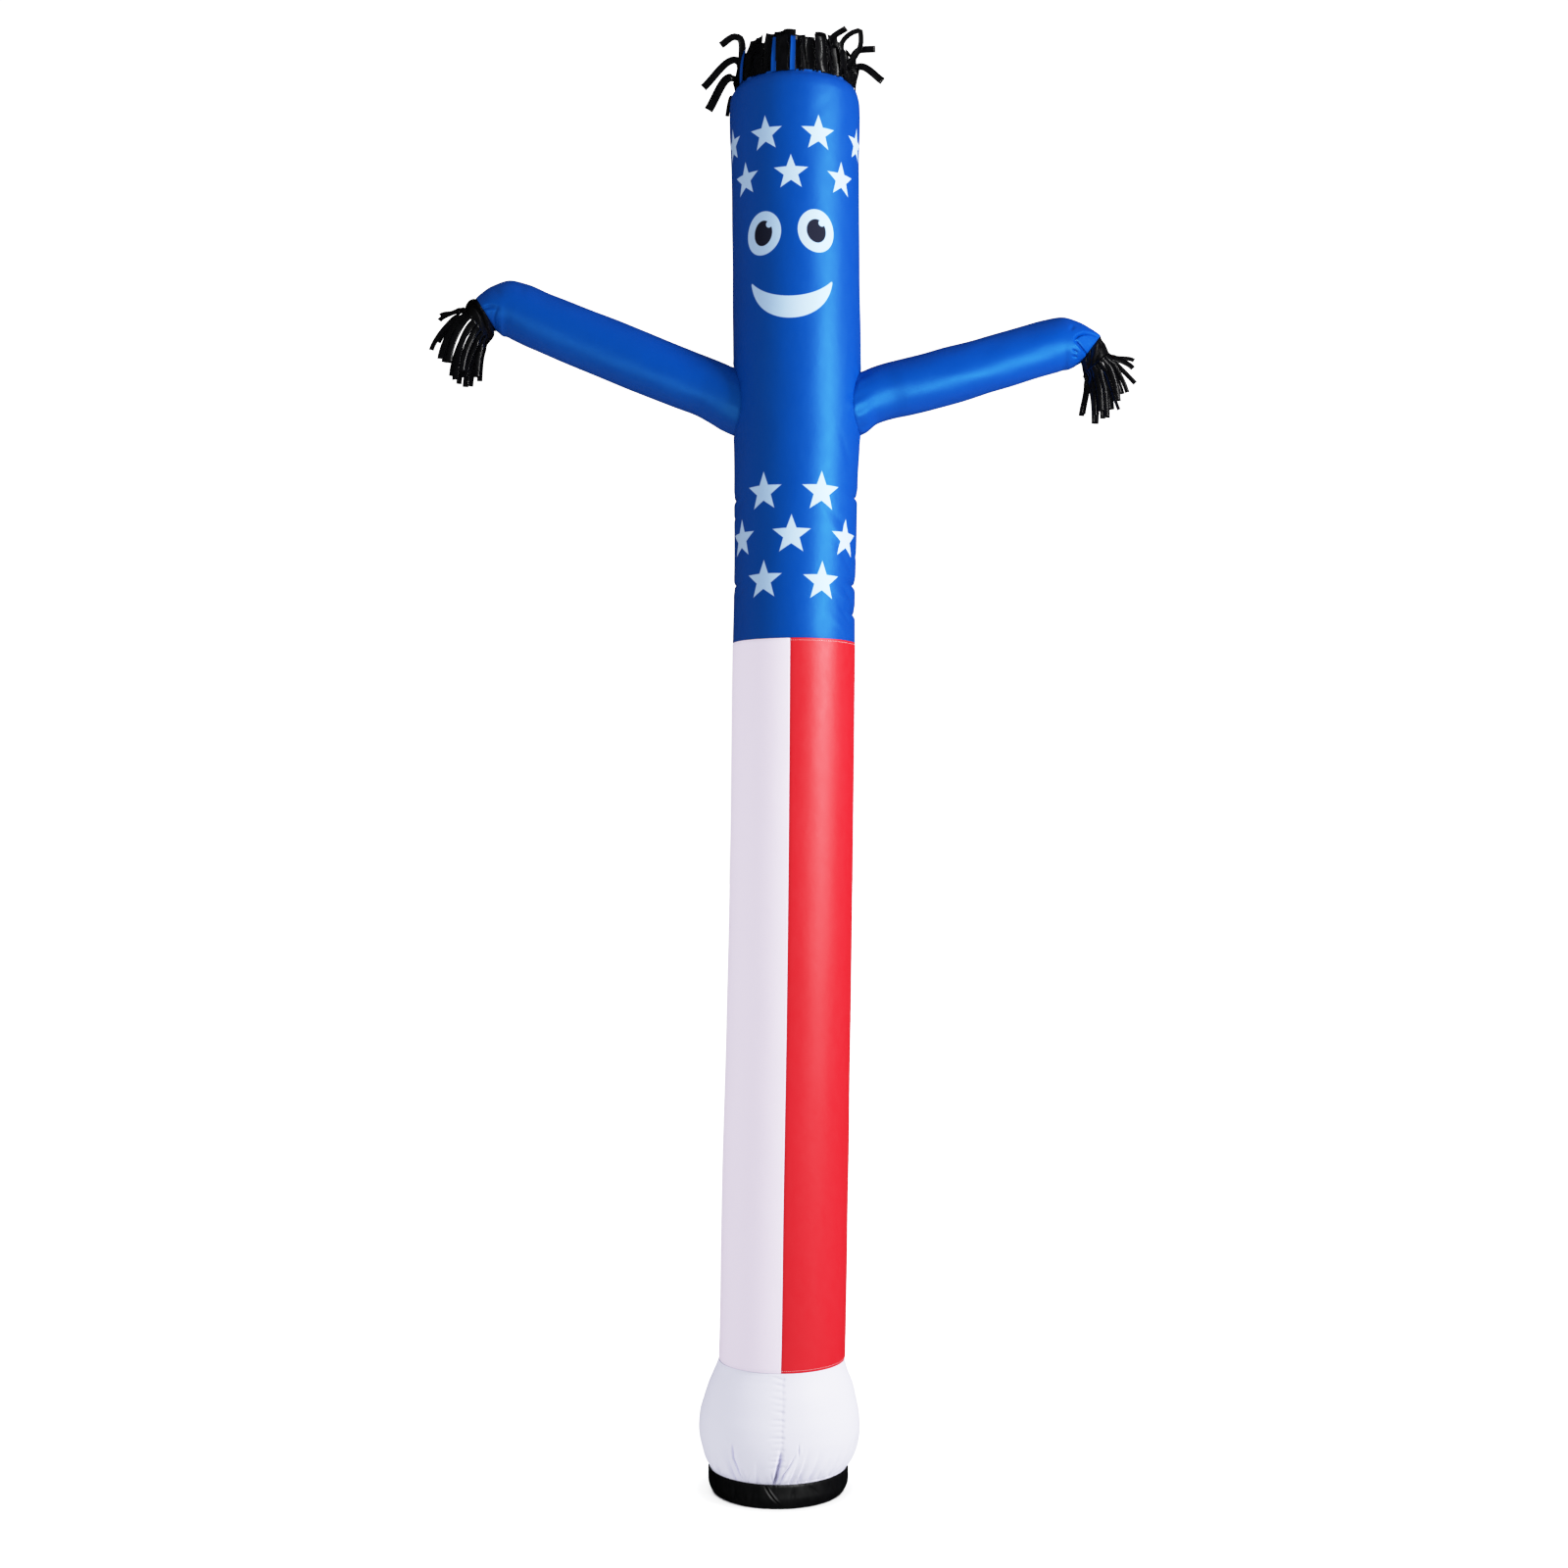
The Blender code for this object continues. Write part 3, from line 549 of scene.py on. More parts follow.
def printed_colour(shader, base):
    """Stars and the face printed on the cloth's colour, and how rough the ink is."""

    def inside(distance, edge=EDGE):
        return shader.ramp(distance, -edge, edge, 1.0, 0.0)

    white, black = inside(star(*shader.place("Star")), EDGE / STAR_SIZE), None
    x, y = shader.place("Face")
    for eye in EYES:
        height = eye.z - FACE_Z
        white = white.max(inside(ellipse(x, y, eye.x, height, eye.white, eye.tilt)))
        pupil = ellipse(x, y, eye.x, height, eye.pupil, eye.pupil_tilt)
        notch = circle(x, y, eye.notch_x, eye.notch_z - FACE_Z, NOTCH_RADIUS)
        pupil = inside(pupil.max(-notch))
        black = pupil if black is None else black.max(pupil)
    low = circle(x, y, MOUTH_X, MOUTH_LOW[0] - FACE_Z, MOUTH_LOW[1] - MOUTH_ROUND)
    high = -circle(x, y, MOUTH_X, MOUTH_HIGH[0] - FACE_Z, MOUTH_HIGH[1] + MOUTH_ROUND)
    deep = low.max(high).apply("MINIMUM", 0.0)
    mouth = hypot(low.max(0.0), high.max(0.0)) + deep - MOUTH_ROUND
    white = white.max(inside(mouth))
    return shader.mix(black, shader.mix(white, base, PRINT_WHITE), PRINT_BLACK), black * INK_ROUGH


THREAD_PITCH = 0.00085  # of the woven cloth
DUST = (0.46, 0.43, 0.40)


def nylon(name, slot, colour, deep, tint, rough, gloss, printed=False, stain=0.0):
    """Coated nylon: a woven sheet with a soft tinted sheen, dusty near the ground by stain."""
    shader = Shader(name)
    fine = shader.noise(60, 3, (1, 1, 0.6))
    shade = shader.ramp(shader.noise(9, 3, (1, 1, 0.35)), 0.3, 0.7)
    base = shader.mix(shade * 0.55, colour, deep)
    if stain:
        height = shader.split(shader.in_object())[2]
        low = shader.ramp(height, 0.05, 0.20, stain, 0.0, "SMOOTHSTEP")
        base = shader.mix(low * shader.ramp(fine, 0.35, 0.75), base, DUST)
    roughness = shader.ramp(fine, 0.2, 0.8, rough - 0.05, rough + 0.05)
    if printed:
        base, ink = printed_colour(shader, base)
        roughness = roughness.max(ink)
    across, up = [(place * (TAU / THREAD_PITCH)).apply("SINE") for place in shader.place("Cloth")]
    threads = shader.bump(across * up, 0.00005, 0.5)
    normal = shader.bump(shader.noise(34, 4, (1, 1, 0.5)), 0.0011, 0.35, Normal=threads)
    shader.set(Base_Color=base, Roughness=roughness, Specular_IOR_Level=gloss)
    shader.set(Specular_Tint=tint, Normal=normal)
    return shader.material


def black_vinyl(name, rough, crumple, gloss=0.5, detail=4):
    """Glossy black sheet. Crumple is the height of its fine wrinkles."""
    shader = Shader(name)
    fine = shader.ramp(shader.noise(120, 3, (1, 1, 0.5)), 0.3, 0.7)
    wrinkles = shader.noise(55, detail, (1, 1, 0.45))
    colour = shader.mix(fine, (0.0015, 0.0015, 0.002), (0.0035, 0.0035, 0.0045))
    roughness = shader.ramp(wrinkles, 0.3, 0.7, rough - 0.06, rough + 0.10)
    shader.set(Base_Color=colour, Roughness=roughness, Specular_IOR_Level=gloss)
    shader.set(Normal=shader.bump(wrinkles, crumple, 0.6))
    return shader.material


PLAIN = (1, 1, 1)
BLUE_LOOK = ((0.0005, 0.055, 0.380), (0.0005, 0.050, 0.350), (0.070, 0.50, 1.0), 0.42, 0.9)
BLUE = nylon("blue_nylon", "blue_nylon", *BLUE_LOOK)
BLUE_PRINTED = nylon("blue_nylon_printed", "blue_nylon", *BLUE_LOOK, printed=True)
WHITE = nylon(
    "white_nylon", "white_nylon", (0.90, 0.785, 0.965), (0.87, 0.76, 0.935), PLAIN, 0.52, 0.35
)
WHITE_BASE = nylon(
    "white_nylon_base", "white_nylon",
    (0.815, 0.805, 0.96), (0.785, 0.775, 0.93), PLAIN, 0.50, 0.40, stain=0.05,
)
RED = nylon(
    "red_nylon", "red_nylon", (0.76, 0.0045, 0.015), (0.70, 0.0040, 0.012), (1, 0.50, 0.52),
    0.42, 0.8,
)
BLUE_THREAD = nylon(
    "thread_blue", "blue_nylon", (0.003, 0.05, 0.26), (0.002, 0.04, 0.2), PLAIN, 0.6, 0.3
)
WHITE_THREAD = nylon(
    "thread_white", "white_nylon", (0.86, 0.85, 0.90), (0.8, 0.8, 0.86), PLAIN, 0.6, 0.3
)
STRIP_BLACK = black_vinyl("strip_black", 0.20, 0.00002, 0.8, detail=0)
CUFF_BLACK = black_vinyl("cuff_black", 0.40, 0.0003)
BAND_BLACK = black_vinyl("band_black", 0.46, 0.0008)


# ---- Sleeves' shape ----
def middle_and_half(cut):
    """The middle of a cut, and the way from there to its top, both as x and z."""
    top, low = np.array([cut.top_x, cut.top_z]), np.array([cut.low_x, cut.low_z])
    return (top + low) / 2, (top - low) / 2


def sleeve_rows(cuts):
    """Centre, half height vector and half depth of each cut, by the length along the centres."""
    centres, halves = np.moveaxis([middle_and_half(cut) for cut in cuts], 1, 0)
    depths = [cut.half_depth for cut in cuts]
    return np.column_stack([lengths(centres), centres, halves, depths])


def sleeve_at(rows, along, angle, relief=0.0):
    """Points of a sleeve. Angle starts at its top edge and grows towards the front."""
    centre_x, centre_z, half_x, half_z, depth = np.moveaxis(curve(rows, along), -1, 0)
    cos, sin = np.cos(np.radians(angle)), np.sin(np.radians(angle))
    shrink = 1 - relief / np.hypot(half_x, half_z)
    x, z = centre_x + half_x * cos * shrink, centre_z + half_z * cos * shrink
    return np.stack([x, -depth * sin * shrink, z], -1)


def meets_body(rows):
    """How far along its centre line each line of a sleeve leaves the tube's surface."""
    low, high = np.zeros(SLEEVE_COLUMNS), np.full(SLEEVE_COLUMNS, rows[6][0])
    for _ in range(40):
        middle = (low + high) / 2
        at = sleeve_at(rows, middle, SLEEVE_ANGLES)
        axis_x, radius = np.moveaxis(curve(TUBE, at[:, 2]), -1, 0)
        inside = np.hypot(at[:, 0] - axis_x, at[:, 1]) < radius
        low, high = np.where(inside, middle, low), np.where(inside, high, middle)
    return (low + high) / 2


SLEEVE_COLUMNS = 228
SLEEVE_ROWS = 230
SEAM_DIP = 0.0012
ARMHOLE_PUCKER = {"left": 0.0005, "right": 0.0013}
SLEEVES = {"left": sleeve_rows(LEFT_SLEEVE), "right": sleeve_rows(RIGHT_SLEEVE)}
# Columns lie closer together on the front, where the folds are
SLEEVE_TURN = closer_together(0, 360, 28, 150, 2.2, SLEEVE_COLUMNS + 1)
SLEEVE_ANGLES = SLEEVE_TURN[:-1]


def armhole(side):
    """The line where a sleeve meets the tube: angles and heights on the tube."""
    rows = SLEEVES[side]
    at = sleeve_at(rows, meets_body(rows), SLEEVE_ANGLES)
    axis_x = curve(TUBE, at[:, 2])[:, 0]
    return np.degrees(np.arctan2(at[:, 0] - axis_x, -at[:, 1])), at[:, 2]


ARMHOLES = {side: armhole(side) for side in SLEEVES}


def to_armhole(side, angle, z):
    """Signed distance to an armhole's line over the tube, negative inside, and the nearest place,
    counted in the line's points."""
    hole_angle, hole_z = ARMHOLES[side]
    middle = float(np.mean(hole_angle))
    x = np.radians(turn_between(angle, middle)) * ARMHOLE_ARC
    line_x = np.radians(turn_between(hole_angle, middle)) * ARMHOLE_ARC
    near = (np.abs(x) < 0.13) & (z > hole_z.min() - 0.06) & (z < hole_z.max() + 0.06)
    distance, place = np.full(near.shape, 1.0), np.zeros(near.shape)
    x, z = np.broadcast_arrays(x, z)
    off_x, off_z = x[near][:, None] - line_x, z[near][:, None] - hole_z
    step_x, step_z = np.roll(line_x, -1) - line_x, np.roll(hole_z, -1) - hole_z
    share = np.clip((off_x * step_x + off_z * step_z) / (step_x**2 + step_z**2), 0, 1)
    gaps = np.hypot(off_x - share * step_x, off_z - share * step_z)
    nearest = gaps.argmin(1)
    place[near] = nearest + share[np.arange(len(nearest)), nearest]
    # inside by counting crossings of a level line
    crosses = (off_z < 0) != (off_z < step_z)
    slope = step_x / np.where(step_z == 0, 1e-9, step_z)
    inside = (crosses & (off_x < off_z * slope)).sum(1) % 2 == 1
    distance[near] = gaps.min(1) * np.where(inside, -1, 1)
    return distance, place


def on_armhole(side, place):
    """Angle and height at a place along an armhole's line."""
    hole_angle, hole_z = ARMHOLES[side]
    middle = float(np.mean(hole_angle))
    first = np.floor(place).astype(int) % len(hole_z)
    after, share = (first + 1) % len(hole_z), place - np.floor(place)
    turn = turn_between(hole_angle, middle)
    angle = turn[first] * (1 - share) + turn[after] * share + middle
    return angle, hole_z[first] * (1 - share) + hole_z[after] * share


# ---- Upper tube ----
def body_relief(angle, z):
    """Waves, folds and pinches of the upper tube, and the puckers at its seams and sleeves."""
    relief = waves(angle, z, BODY_WAVES) + fold_relief(BODY_FOLDS, angle, z, BODY_ARC)
    for pinch in PINCHES:
        spread = bump(turn_between(angle, pinch.angle) / pinch.spread)
        relief += pinch.depth * bump((z - pinch.z) / pinch.half_height) * spread
    arc = np.radians(angle) * BODY_ARC
    relief += sewn(z - STRIPE_TOP, arc, 31, pucker=0.0004)
    relief += sewn(HEAD_TOP - z, arc, 32, pucker=0.0014, pitch=0.030, reach=0.012)
    for side, seed in (("left", 41), ("right", 42)):
        distance, place = to_armhole(side, angle, z)
        chance = Random(seed)
        turn = np.radians(np.interp(place, np.arange(SLEEVE_COLUMNS + 1), SLEEVE_TURN))
        beat = np.sin(11 * turn + chance.uniform(0, TAU))
        beat = beat + 0.7 * np.sin(17 * turn + chance.uniform(0, TAU))
        out = np.maximum(distance, 0)
        size = ARMHOLE_PUCKER[side] * (1 - np.exp(-out / 0.003)) * np.exp(-((out / 0.018) ** 2))
        relief += size * beat
        relief += SEAM_DIP * np.exp(-((out / 0.004) ** 2))
    fade = np.clip((z - STRIPE_TOP) / 0.004, 0, 1) * np.clip((HEAD_TOP - z) / 0.004, 0, 1)
    return relief * (0.35 + 0.65 * fade)


def star_places(angle, z):
    """Place of each face's corners about the star that lies nearest to the face."""
    middle_angle, middle_z = angle.mean(1), z.mean(1)
    best = np.full(len(angle), 1e9)
    found = np.zeros((*angle.shape, 2))
    for star, half_turn in [(star, turn) for star in STARS for turn in (0, 180)]:
        aside = turn_between(middle_angle, star.angle + half_turn)
        radius = float(radius_at(np.array(star.z)))
        gap = np.hypot(np.radians(aside) * radius, middle_z - star.z) / star.size
        better = gap < best
        best[better] = gap[better]
        around = aside[better][:, None] + (angle[better] - middle_angle[better][:, None])
        found[better, :, 0] = np.radians(around) * radius / star.size
        found[better, :, 1] = (z[better] - star.z) / star.size
    return found


def build_body():
    rows = int((HEAD_TOP - STRIPE_TOP) / ROW) + 1
    z = np.linspace(STRIPE_TOP + SEAM, HEAD_TOP, rows)[:, None]
    angle = np.arange(COLUMNS) * 360 / COLUMNS - 180 + 0 * z
    z = z + 0 * angle
    points = tube_at(angle, z, body_relief(angle, z)).reshape(-1, 3)
    faces, _ = grid_faces(rows, COLUMNS, True)
    keep = np.ones(len(faces), bool)
    for side in SLEEVES:
        distance, place = to_armhole(side, angle, z)
        inside = (distance < 0).ravel()
        keep &= ~inside[faces].all(1)
        border = np.unique(faces[keep & inside[faces].any(1)])
        border = border[inside[border]]
        points[border] = tube_at(*on_armhole(side, place.ravel()[border]), SEAM_DIP)
    wide_angle, wide_z = widened(angle, 360).ravel(), widened(z).ravel()
    return cloth(
        "body_cloth", "body_upper", points.reshape(rows, COLUMNS, 3), BLUE_PRINTED,
        (angle, BODY_MAP_ARC, z), keep=keep,
        Face=cloth_map(angle, FACE_RADIUS, z - FACE_Z),
        Star=lambda corners: star_places(wide_angle[corners], wide_z[corners]),
    )


# ---- Striped lower tube ----
PANELS = {
    "stripe_white_front": -90,
    "stripe_red_front": 0,
    "stripe_white_back": 90,
    "stripe_red_back": 180,
}


def seam_of_stripes(z):
    along = (z - BASE_TOP) / (STRIPE_TOP - BASE_TOP)
    return STRIPE_SEAM_BOTTOM + (STRIPE_SEAM_TOP - STRIPE_SEAM_BOTTOM) * along


def stripe_relief(angle, z, edge=1.0):
    """Edge is the distance to the nearest seam that runs up."""
    relief = waves(angle, z, STRIPE_WAVES)
    arc = np.radians(angle) * STRIPE_ARC
    relief += sewn(edge, z, 50, pucker=0.0004, pitch=0.034, reach=0.012)
    relief += sewn(STRIPE_TOP - z, arc, 31, pucker=0.0004)
    return relief + sewn(z - BASE_TOP, arc, 33, pucker=0.0003)


def build_stripes():
    rows = int((STRIPE_TOP - BASE_TOP) / STRIPE_ROW)
    z = np.linspace(BASE_TOP + SEAM, STRIPE_TOP - SEAM, rows)[:, None]
    share = np.linspace(0, 1, COLUMNS // 4 + 1)[None]
    share = 0.5 - 0.5 * np.cos(share * math.pi) * (0.6 + 0.4 * np.abs(2 * share - 1))
    share = (share - share.min()) / (share.max() - share.min())
    margin = math.degrees(SEAM / 2 / STRIPE_ARC)
    edge = np.minimum(share, 1 - share) * math.radians(90) * STRIPE_ARC + 0 * z
    made = {}
    for node, turn in PANELS.items():
        angle = seam_of_stripes(z) + turn + margin + (90 - 2 * margin) * share
        height = z + 0 * angle
        points = tube_at(angle, height, stripe_relief(angle, height, edge))
        material = RED if "red" in node else WHITE
        places = angle, STRIPE_ARC, height
        made[node] = cloth(node + "_cloth", node, points, material, places, closed=False)
    return made


# ---- Base and band ----
def all_gathers():
    """The photo's gathers on the front, guessed ones round the back, and fine ones all round."""
    chance = Random(5)
    found = list(GATHERS)
    angle = GATHERS[-1].angle
    while angle < GATHERS[0].angle + 360 - 12:
        angle += chance.uniform(7, 15)
        limits = ((2.6, 4.4), (0.0016, 0.0044), (0.040, 0.070), (-0.9, 0.9))
        found.append(Gather(angle, *(chance.uniform(*pair) for pair in limits)))
    limits = ((-180, 180), (1.2, 2.2), (0.0004, 0.0012), (0.014, 0.034), (-0.8, 0.8))
    return found + [Gather(*(chance.uniform(*pair) for pair in limits)) for _ in range(70)]


GATHER_DEPTH = 2.7
GATHER_STEEP = 3.4  # how much steeper each gather is on the side that it leans over
SEAM_FOLD_WIDTH = 0.0023
SEAM_FOLD_DEPTH = 0.0021


def crease_relief(angle, z):
    """Narrow tucks above the band, each with a soft roll of cloth at its right."""
    relief = 0 * angle
    for crease in CREASES:
        path = np.array(crease.path)[::-1]
        middle = np.interp(z, path[:, 1], path[:, 0])
        across = np.radians(turn_between(angle, middle)) * radius_at(z) / crease.width
        size = np.clip((path[-1, 1] - z) / 0.030, 0, 1) ** 0.7
        size = size * np.clip((z - path[0, 1] + 0.004) / 0.012, 0, 1)
        roll = 0.22 * np.exp(-(((across - 2.8) / 1.8) ** 2))
        relief += crease.depth * size * (np.exp(-(across**2)) - roll)
    return relief


def seam_fold_relief(seam, seed, angle, z):
    """Small folds that cross one of the base's seams."""
    chance = Random(seed)
    arc = np.radians(turn_between(angle, seam)) * radius_at(z)
    relief = 0 * arc
    height = 0.255
    while height > 0.085:
        reach = chance.uniform(0.018, 0.036)
        size = SEAM_FOLD_DEPTH * chance.uniform(0.9, 1.6)
        slope = 2.2 * (height - 0.165) + chance.uniform(-0.06, 0.06)
        rise = z - height - slope * np.abs(arc)
        length = np.where(arc < 0, reach, reach * 0.3)
        relief += size * np.exp(-((rise / SEAM_FOLD_WIDTH) ** 2)) * bump(arc / length)
        height -= chance.uniform(0.009, 0.016)
    return relief + 0.0004 * np.exp(-((arc / 0.0030) ** 2))


def base_relief(angle, z):
    """Gathers rise from the band and fan out; small folds cross the front and back seams."""
    relief = waves(angle, z, BASE_WAVES)
    for gather in all_gathers():
        above = (z - BAND_HEIGHT - 0.002) / (1.2 * gather.reach)
        middle = gather.angle + gather.lean * above * 6
        near = turn_between(angle, middle) / (gather.spread * (0.7 + 0.8 * np.clip(above, 0, 1)))
        if gather.lean < 0:
            near = -near
        fall = np.exp(-((near * np.where(near < 0, GATHER_STEEP, 1)) ** 2))
        fade = np.clip(1 - np.maximum(above, 0), 0, 1) ** 1.3
        relief += GATHER_DEPTH * gather.depth * fall * fade
    for seam, seed in ((BASE_SEAM, 61), (BASE_SEAM + 180, 62)):
        relief += seam_fold_relief(seam, seed, angle, z)
    relief += crease_relief(angle, z)
    arc = np.radians(angle) * BASE_ARC
    relief += sewn(BASE_TOP - z, arc, 33, pucker=0.0006, reach=0.008)
    tucked = np.clip((z - BAND_HEIGHT) / 0.010, 0, 1)
    return relief * (0.15 + 0.85 * tucked)


def build_base():
    tucked, free = np.linspace(0.0405, 0.0515, 5), np.linspace(0.0535, BASE_TOP - SEAM, 104)
    z = np.concatenate([tucked, free])[:, None]
    made = {}
    for node, first in (("base_left", BASE_SEAM - 180), ("base_right", BASE_SEAM)):
        # columns lie closer together where the creases are
        angle = closer_together(first, first + 180, -38, 17, 4.0, BASE_COLUMNS)[None] + 0 * z
        height = z + 0 * angle
        points = tube_at(angle, height, base_relief(angle, height))
        places = angle, BASE_MAP_ARC, height
        made[node] = cloth(node + "_cloth", node, points, WHITE_BASE, places, closed=False)
    return made


BAND_COLUMNS = 800
BAND_TURN = 0.024  # height below which the strap turns in
BAND_TUCK_IN = 0.0095
BAND_FOLD_DEPTH = 2.4  # times the depths in the table
BAND_THICKNESS = 0.0026
BAND_ROLL = (0.0016, 0.0014)  # height and depth of its rounded lower edge
BAND_RELIEF = (-0.0008, 0.0026)  # its limits


def build_band():
    """A flat strap of glossy cloth: outer face, rolled lower edge, and inner face."""
    profile = [(BAND_HEIGHT, -0.0012), (BAND_HEIGHT + 0.0004, -0.0006)]
    profile += [(z, 0.0) for z in np.linspace(BAND_HEIGHT - 0.0004, 0.0032, 34)]
    high, deep = BAND_ROLL
    for t in np.linspace(0.2, math.pi / 2, 5):
        profile.append((high - high * math.sin(t), -deep + deep * math.cos(t)))
    profile += [(0.0, -0.0022), (0.0012, -BAND_THICKNESS)]
    profile += [(z, -BAND_THICKNESS) for z in np.linspace(0.004, BAND_HEIGHT - 0.001, 8)]
    z, inset = np.array(profile).T[..., None]
    inset = inset - BAND_TUCK_IN * np.maximum(1 - z / BAND_TURN, 0) ** 1.8
    length = lengths(np.hstack([z, inset]))[:, None]
    angle = np.arange(BAND_COLUMNS) * 360 / BAND_COLUMNS + 0 * z
    z = z + 0 * angle
    relief = BAND_FOLD_DEPTH * fold_relief(BAND_FOLDS, angle, z, BAND_RADIUS)
    relief += waves(angle, z, BAND_WAVES)
    arc = np.radians(angle) * BAND_RADIUS
    relief += sewn(BAND_HEIGHT - z, arc, 34, pucker=0.0010, pitch=0.017, reach=0.007)
    relief = np.clip(relief + 0.0004, *BAND_RELIEF)
    points = outwards(angle) * (BAND_RADIUS + inset - relief)[..., None]
    points[..., 2] = z
    places = angle, BAND_RADIUS, length + 0 * angle
    return cloth("band_strap", "base_band", points, BAND_BLACK, places, flip=True)


# ---- Sleeves and cuffs ----
FACET_LENGTH = 0.045  # of the flat fold at the right wrist
FACET_APEX = 95  # angle where it starts
FACET_OPEN = (50, 42)  # degrees it reaches towards the top and towards the low edge
FACET_FLAT = 0.6  # how far it goes from round to flat
FACET_STEP = 0.0022  # how far it lies below the cloth beside it
FACET_SOFT = 3.0  # degrees over which the step falls
FACET_CREASES = ((-1, 0.0090), (1, 0.0066))  # side and depth of the creases along it
FACET_CREASE_WIDTH = (5.2, 1.8)  # degrees they fade over, towards the top and the low edge


def facet_relief(angle, left_over, size):
    """A flat fold that opens towards the wrist, with a sharp crease along each side."""
    along = np.clip(1 - left_over / FACET_LENGTH, 0, 1)
    top = FACET_APEX - FACET_OPEN[0] * along
    low = FACET_APEX + FACET_OPEN[1] * along
    middle, half = (top + low) / 2, (low - top) / 2
    off = turn_between(angle, middle)
    inside = (np.abs(off) < half) & (along > 0)
    flat = 1 - np.cos(np.radians(half)) / np.cos(np.radians(np.clip(off, -half, half)))
    edge = np.clip((half - np.abs(off)) / FACET_SOFT, 0, 1) * np.clip(along * 6, 0, 1)
    relief = np.where(inside, size * flat * FACET_FLAT, 0) + FACET_STEP * edge
    for side, depth in FACET_CREASES:
        gap = off - side * half
        gap = gap / np.where(gap < 0, *FACET_CREASE_WIDTH)
        relief += depth * np.exp(-(gap**2)) * np.clip(along * 5, 0, 1)
    return relief


def sleeve_relief(side, along, angle, start, end, size):
    """Relief of a sleeve, at a length along its centre line that runs from start to end."""
    seed = SLEEVE_SEEDS[side]
    relief = waves(angle, along, SLEEVE_WAVES, seed)
    gone, left_over = along - start, end - along
    chance = Random(seed + 2)
    beat = sum(
        weight * np.sin(count * np.radians(angle) + chance.uniform(0, TAU))
        for count, weight in ((7, 1.0), (11, 0.8), (17, 0.5))
    )
    pucker = 1.2 * ARMHOLE_PUCKER[side] * (1 - np.exp(-gone / 0.004))
    relief += pucker * beat * np.exp(-gone / 0.020)
    relief += 0.0008 * np.exp(-gone / 0.004)
    relief += fold_relief(SLEEVE_FOLDS[side], angle, left_over, SLEEVE_ARC)
    if side == "right":
        relief += facet_relief(angle, left_over, size)
    arc = np.radians(angle) * WRIST_ARC
    return relief + sewn(left_over, arc, seed + 3, pucker=0.0012, pitch=0.019, reach=0.009)


def build_sleeve(side):
    """A sleeve, and the ring of points at its wrist."""
    rows = SLEEVES[side]
    end = rows[-1][0]
    start = meets_body(rows)[None]
    share = 1 - (1 - np.linspace(0, 1, SLEEVE_ROWS)[:, None]) ** 1.35
    along = start + (end - start) * share
    angle = SLEEVE_ANGLES + 0 * along
    values = curve(rows, along)
    size = np.hypot(values[..., 2], values[..., 3])
    points = sleeve_at(rows, along, angle, sleeve_relief(side, along, angle, start, end, size))
    points[0] = tube_at(*ARMHOLES[side], 0.004)
    points[1] = tube_at(*ARMHOLES[side], SEAM_DIP)
    name, places = f"sleeve_{side}_cloth", (angle, SLEEVE_MAP_ARC, along)
    made = cloth(name, "arm_" + side, points, BLUE, places, flip=side == "left")
    return made, points[-1]


def cut_ring(cut):
    """Points round one cut."""
    (middle_x, middle_z), (half_x, half_z) = middle_and_half(cut)
    turn = np.radians(SLEEVE_ANGLES)[:, None]
    half, deep = np.array([half_x, 0, half_z]), np.array([0, -cut.half_depth, 0])
    return np.array([middle_x, 0, middle_z]) + (half * np.cos(turn) + deep * np.sin(turn))


CUFF_ROWS = 26
CUFF_BREAK = 0.62  # share of a cuff's length that lies above its first cut
CUFF_LENGTH = 0.05
CUFF_RIDGE = 0.0036


def build_cuff(side, wrist, cuts):
    """Limp cloth with sharp little ridges, from the wrist to the line where it is cut into
    strips, and the points of that line."""
    first, last = map(cut_ring, cuts)
    share = np.linspace(0, 1, CUFF_ROWS)[:, None]
    above = np.clip(share / CUFF_BREAK, 0, 1)[..., None]
    below = np.clip((share - CUFF_BREAK) / (1 - CUFF_BREAK), 0, 1)[..., None]
    points = wrist + (first - wrist) * above + (last - first) * below
    out = unit(points - points.mean(1, keepdims=True))
    angle = SLEEVE_ANGLES + 0 * share
    along = share * CUFF_LENGTH + 0 * angle
    ridges = 1 - 2 * np.abs(np.tanh(waves(angle, along, CUFF_WAVES, CUFF_SEEDS[side])))
    points = points - out * (CUFF_RIDGE * ridges * np.clip(share * 6, 0, 1) + 0.0008)[..., None]
    name, places = f"cuff_{side}_cloth", (angle, WRIST_ARC, along)
    made = cloth(name, "cuff_" + side, points, CUFF_BLACK, places, flip=side == "left")
    return made, points[-1]


# ---- Strips and stitches ----
# Places across a strip: two lie close to each edge, so that the shading turns only there
RIBBON_PLACES = np.array([-1, -0.93, -0.46, 0, 0.46, 0.93, 1])
RIBBON_ROWS = np.linspace(0, 1, 22)  # places along a strip
RIBBON_THICKNESS = 0.0006
RING_THICKNESS = 0.0008
STITCH_PITCH = 0.0042
STITCH_SHARE = 0.72  # of the pitch that shows thread
STITCH_WIDTH = 0.0007
STITCH_BULGE = 0.7  # of a thread's width


def square_to(heading, side):
    """The direction nearest to side that is square to the heading."""
    return unit(side - heading * (heading * side).sum(1, keepdims=True))


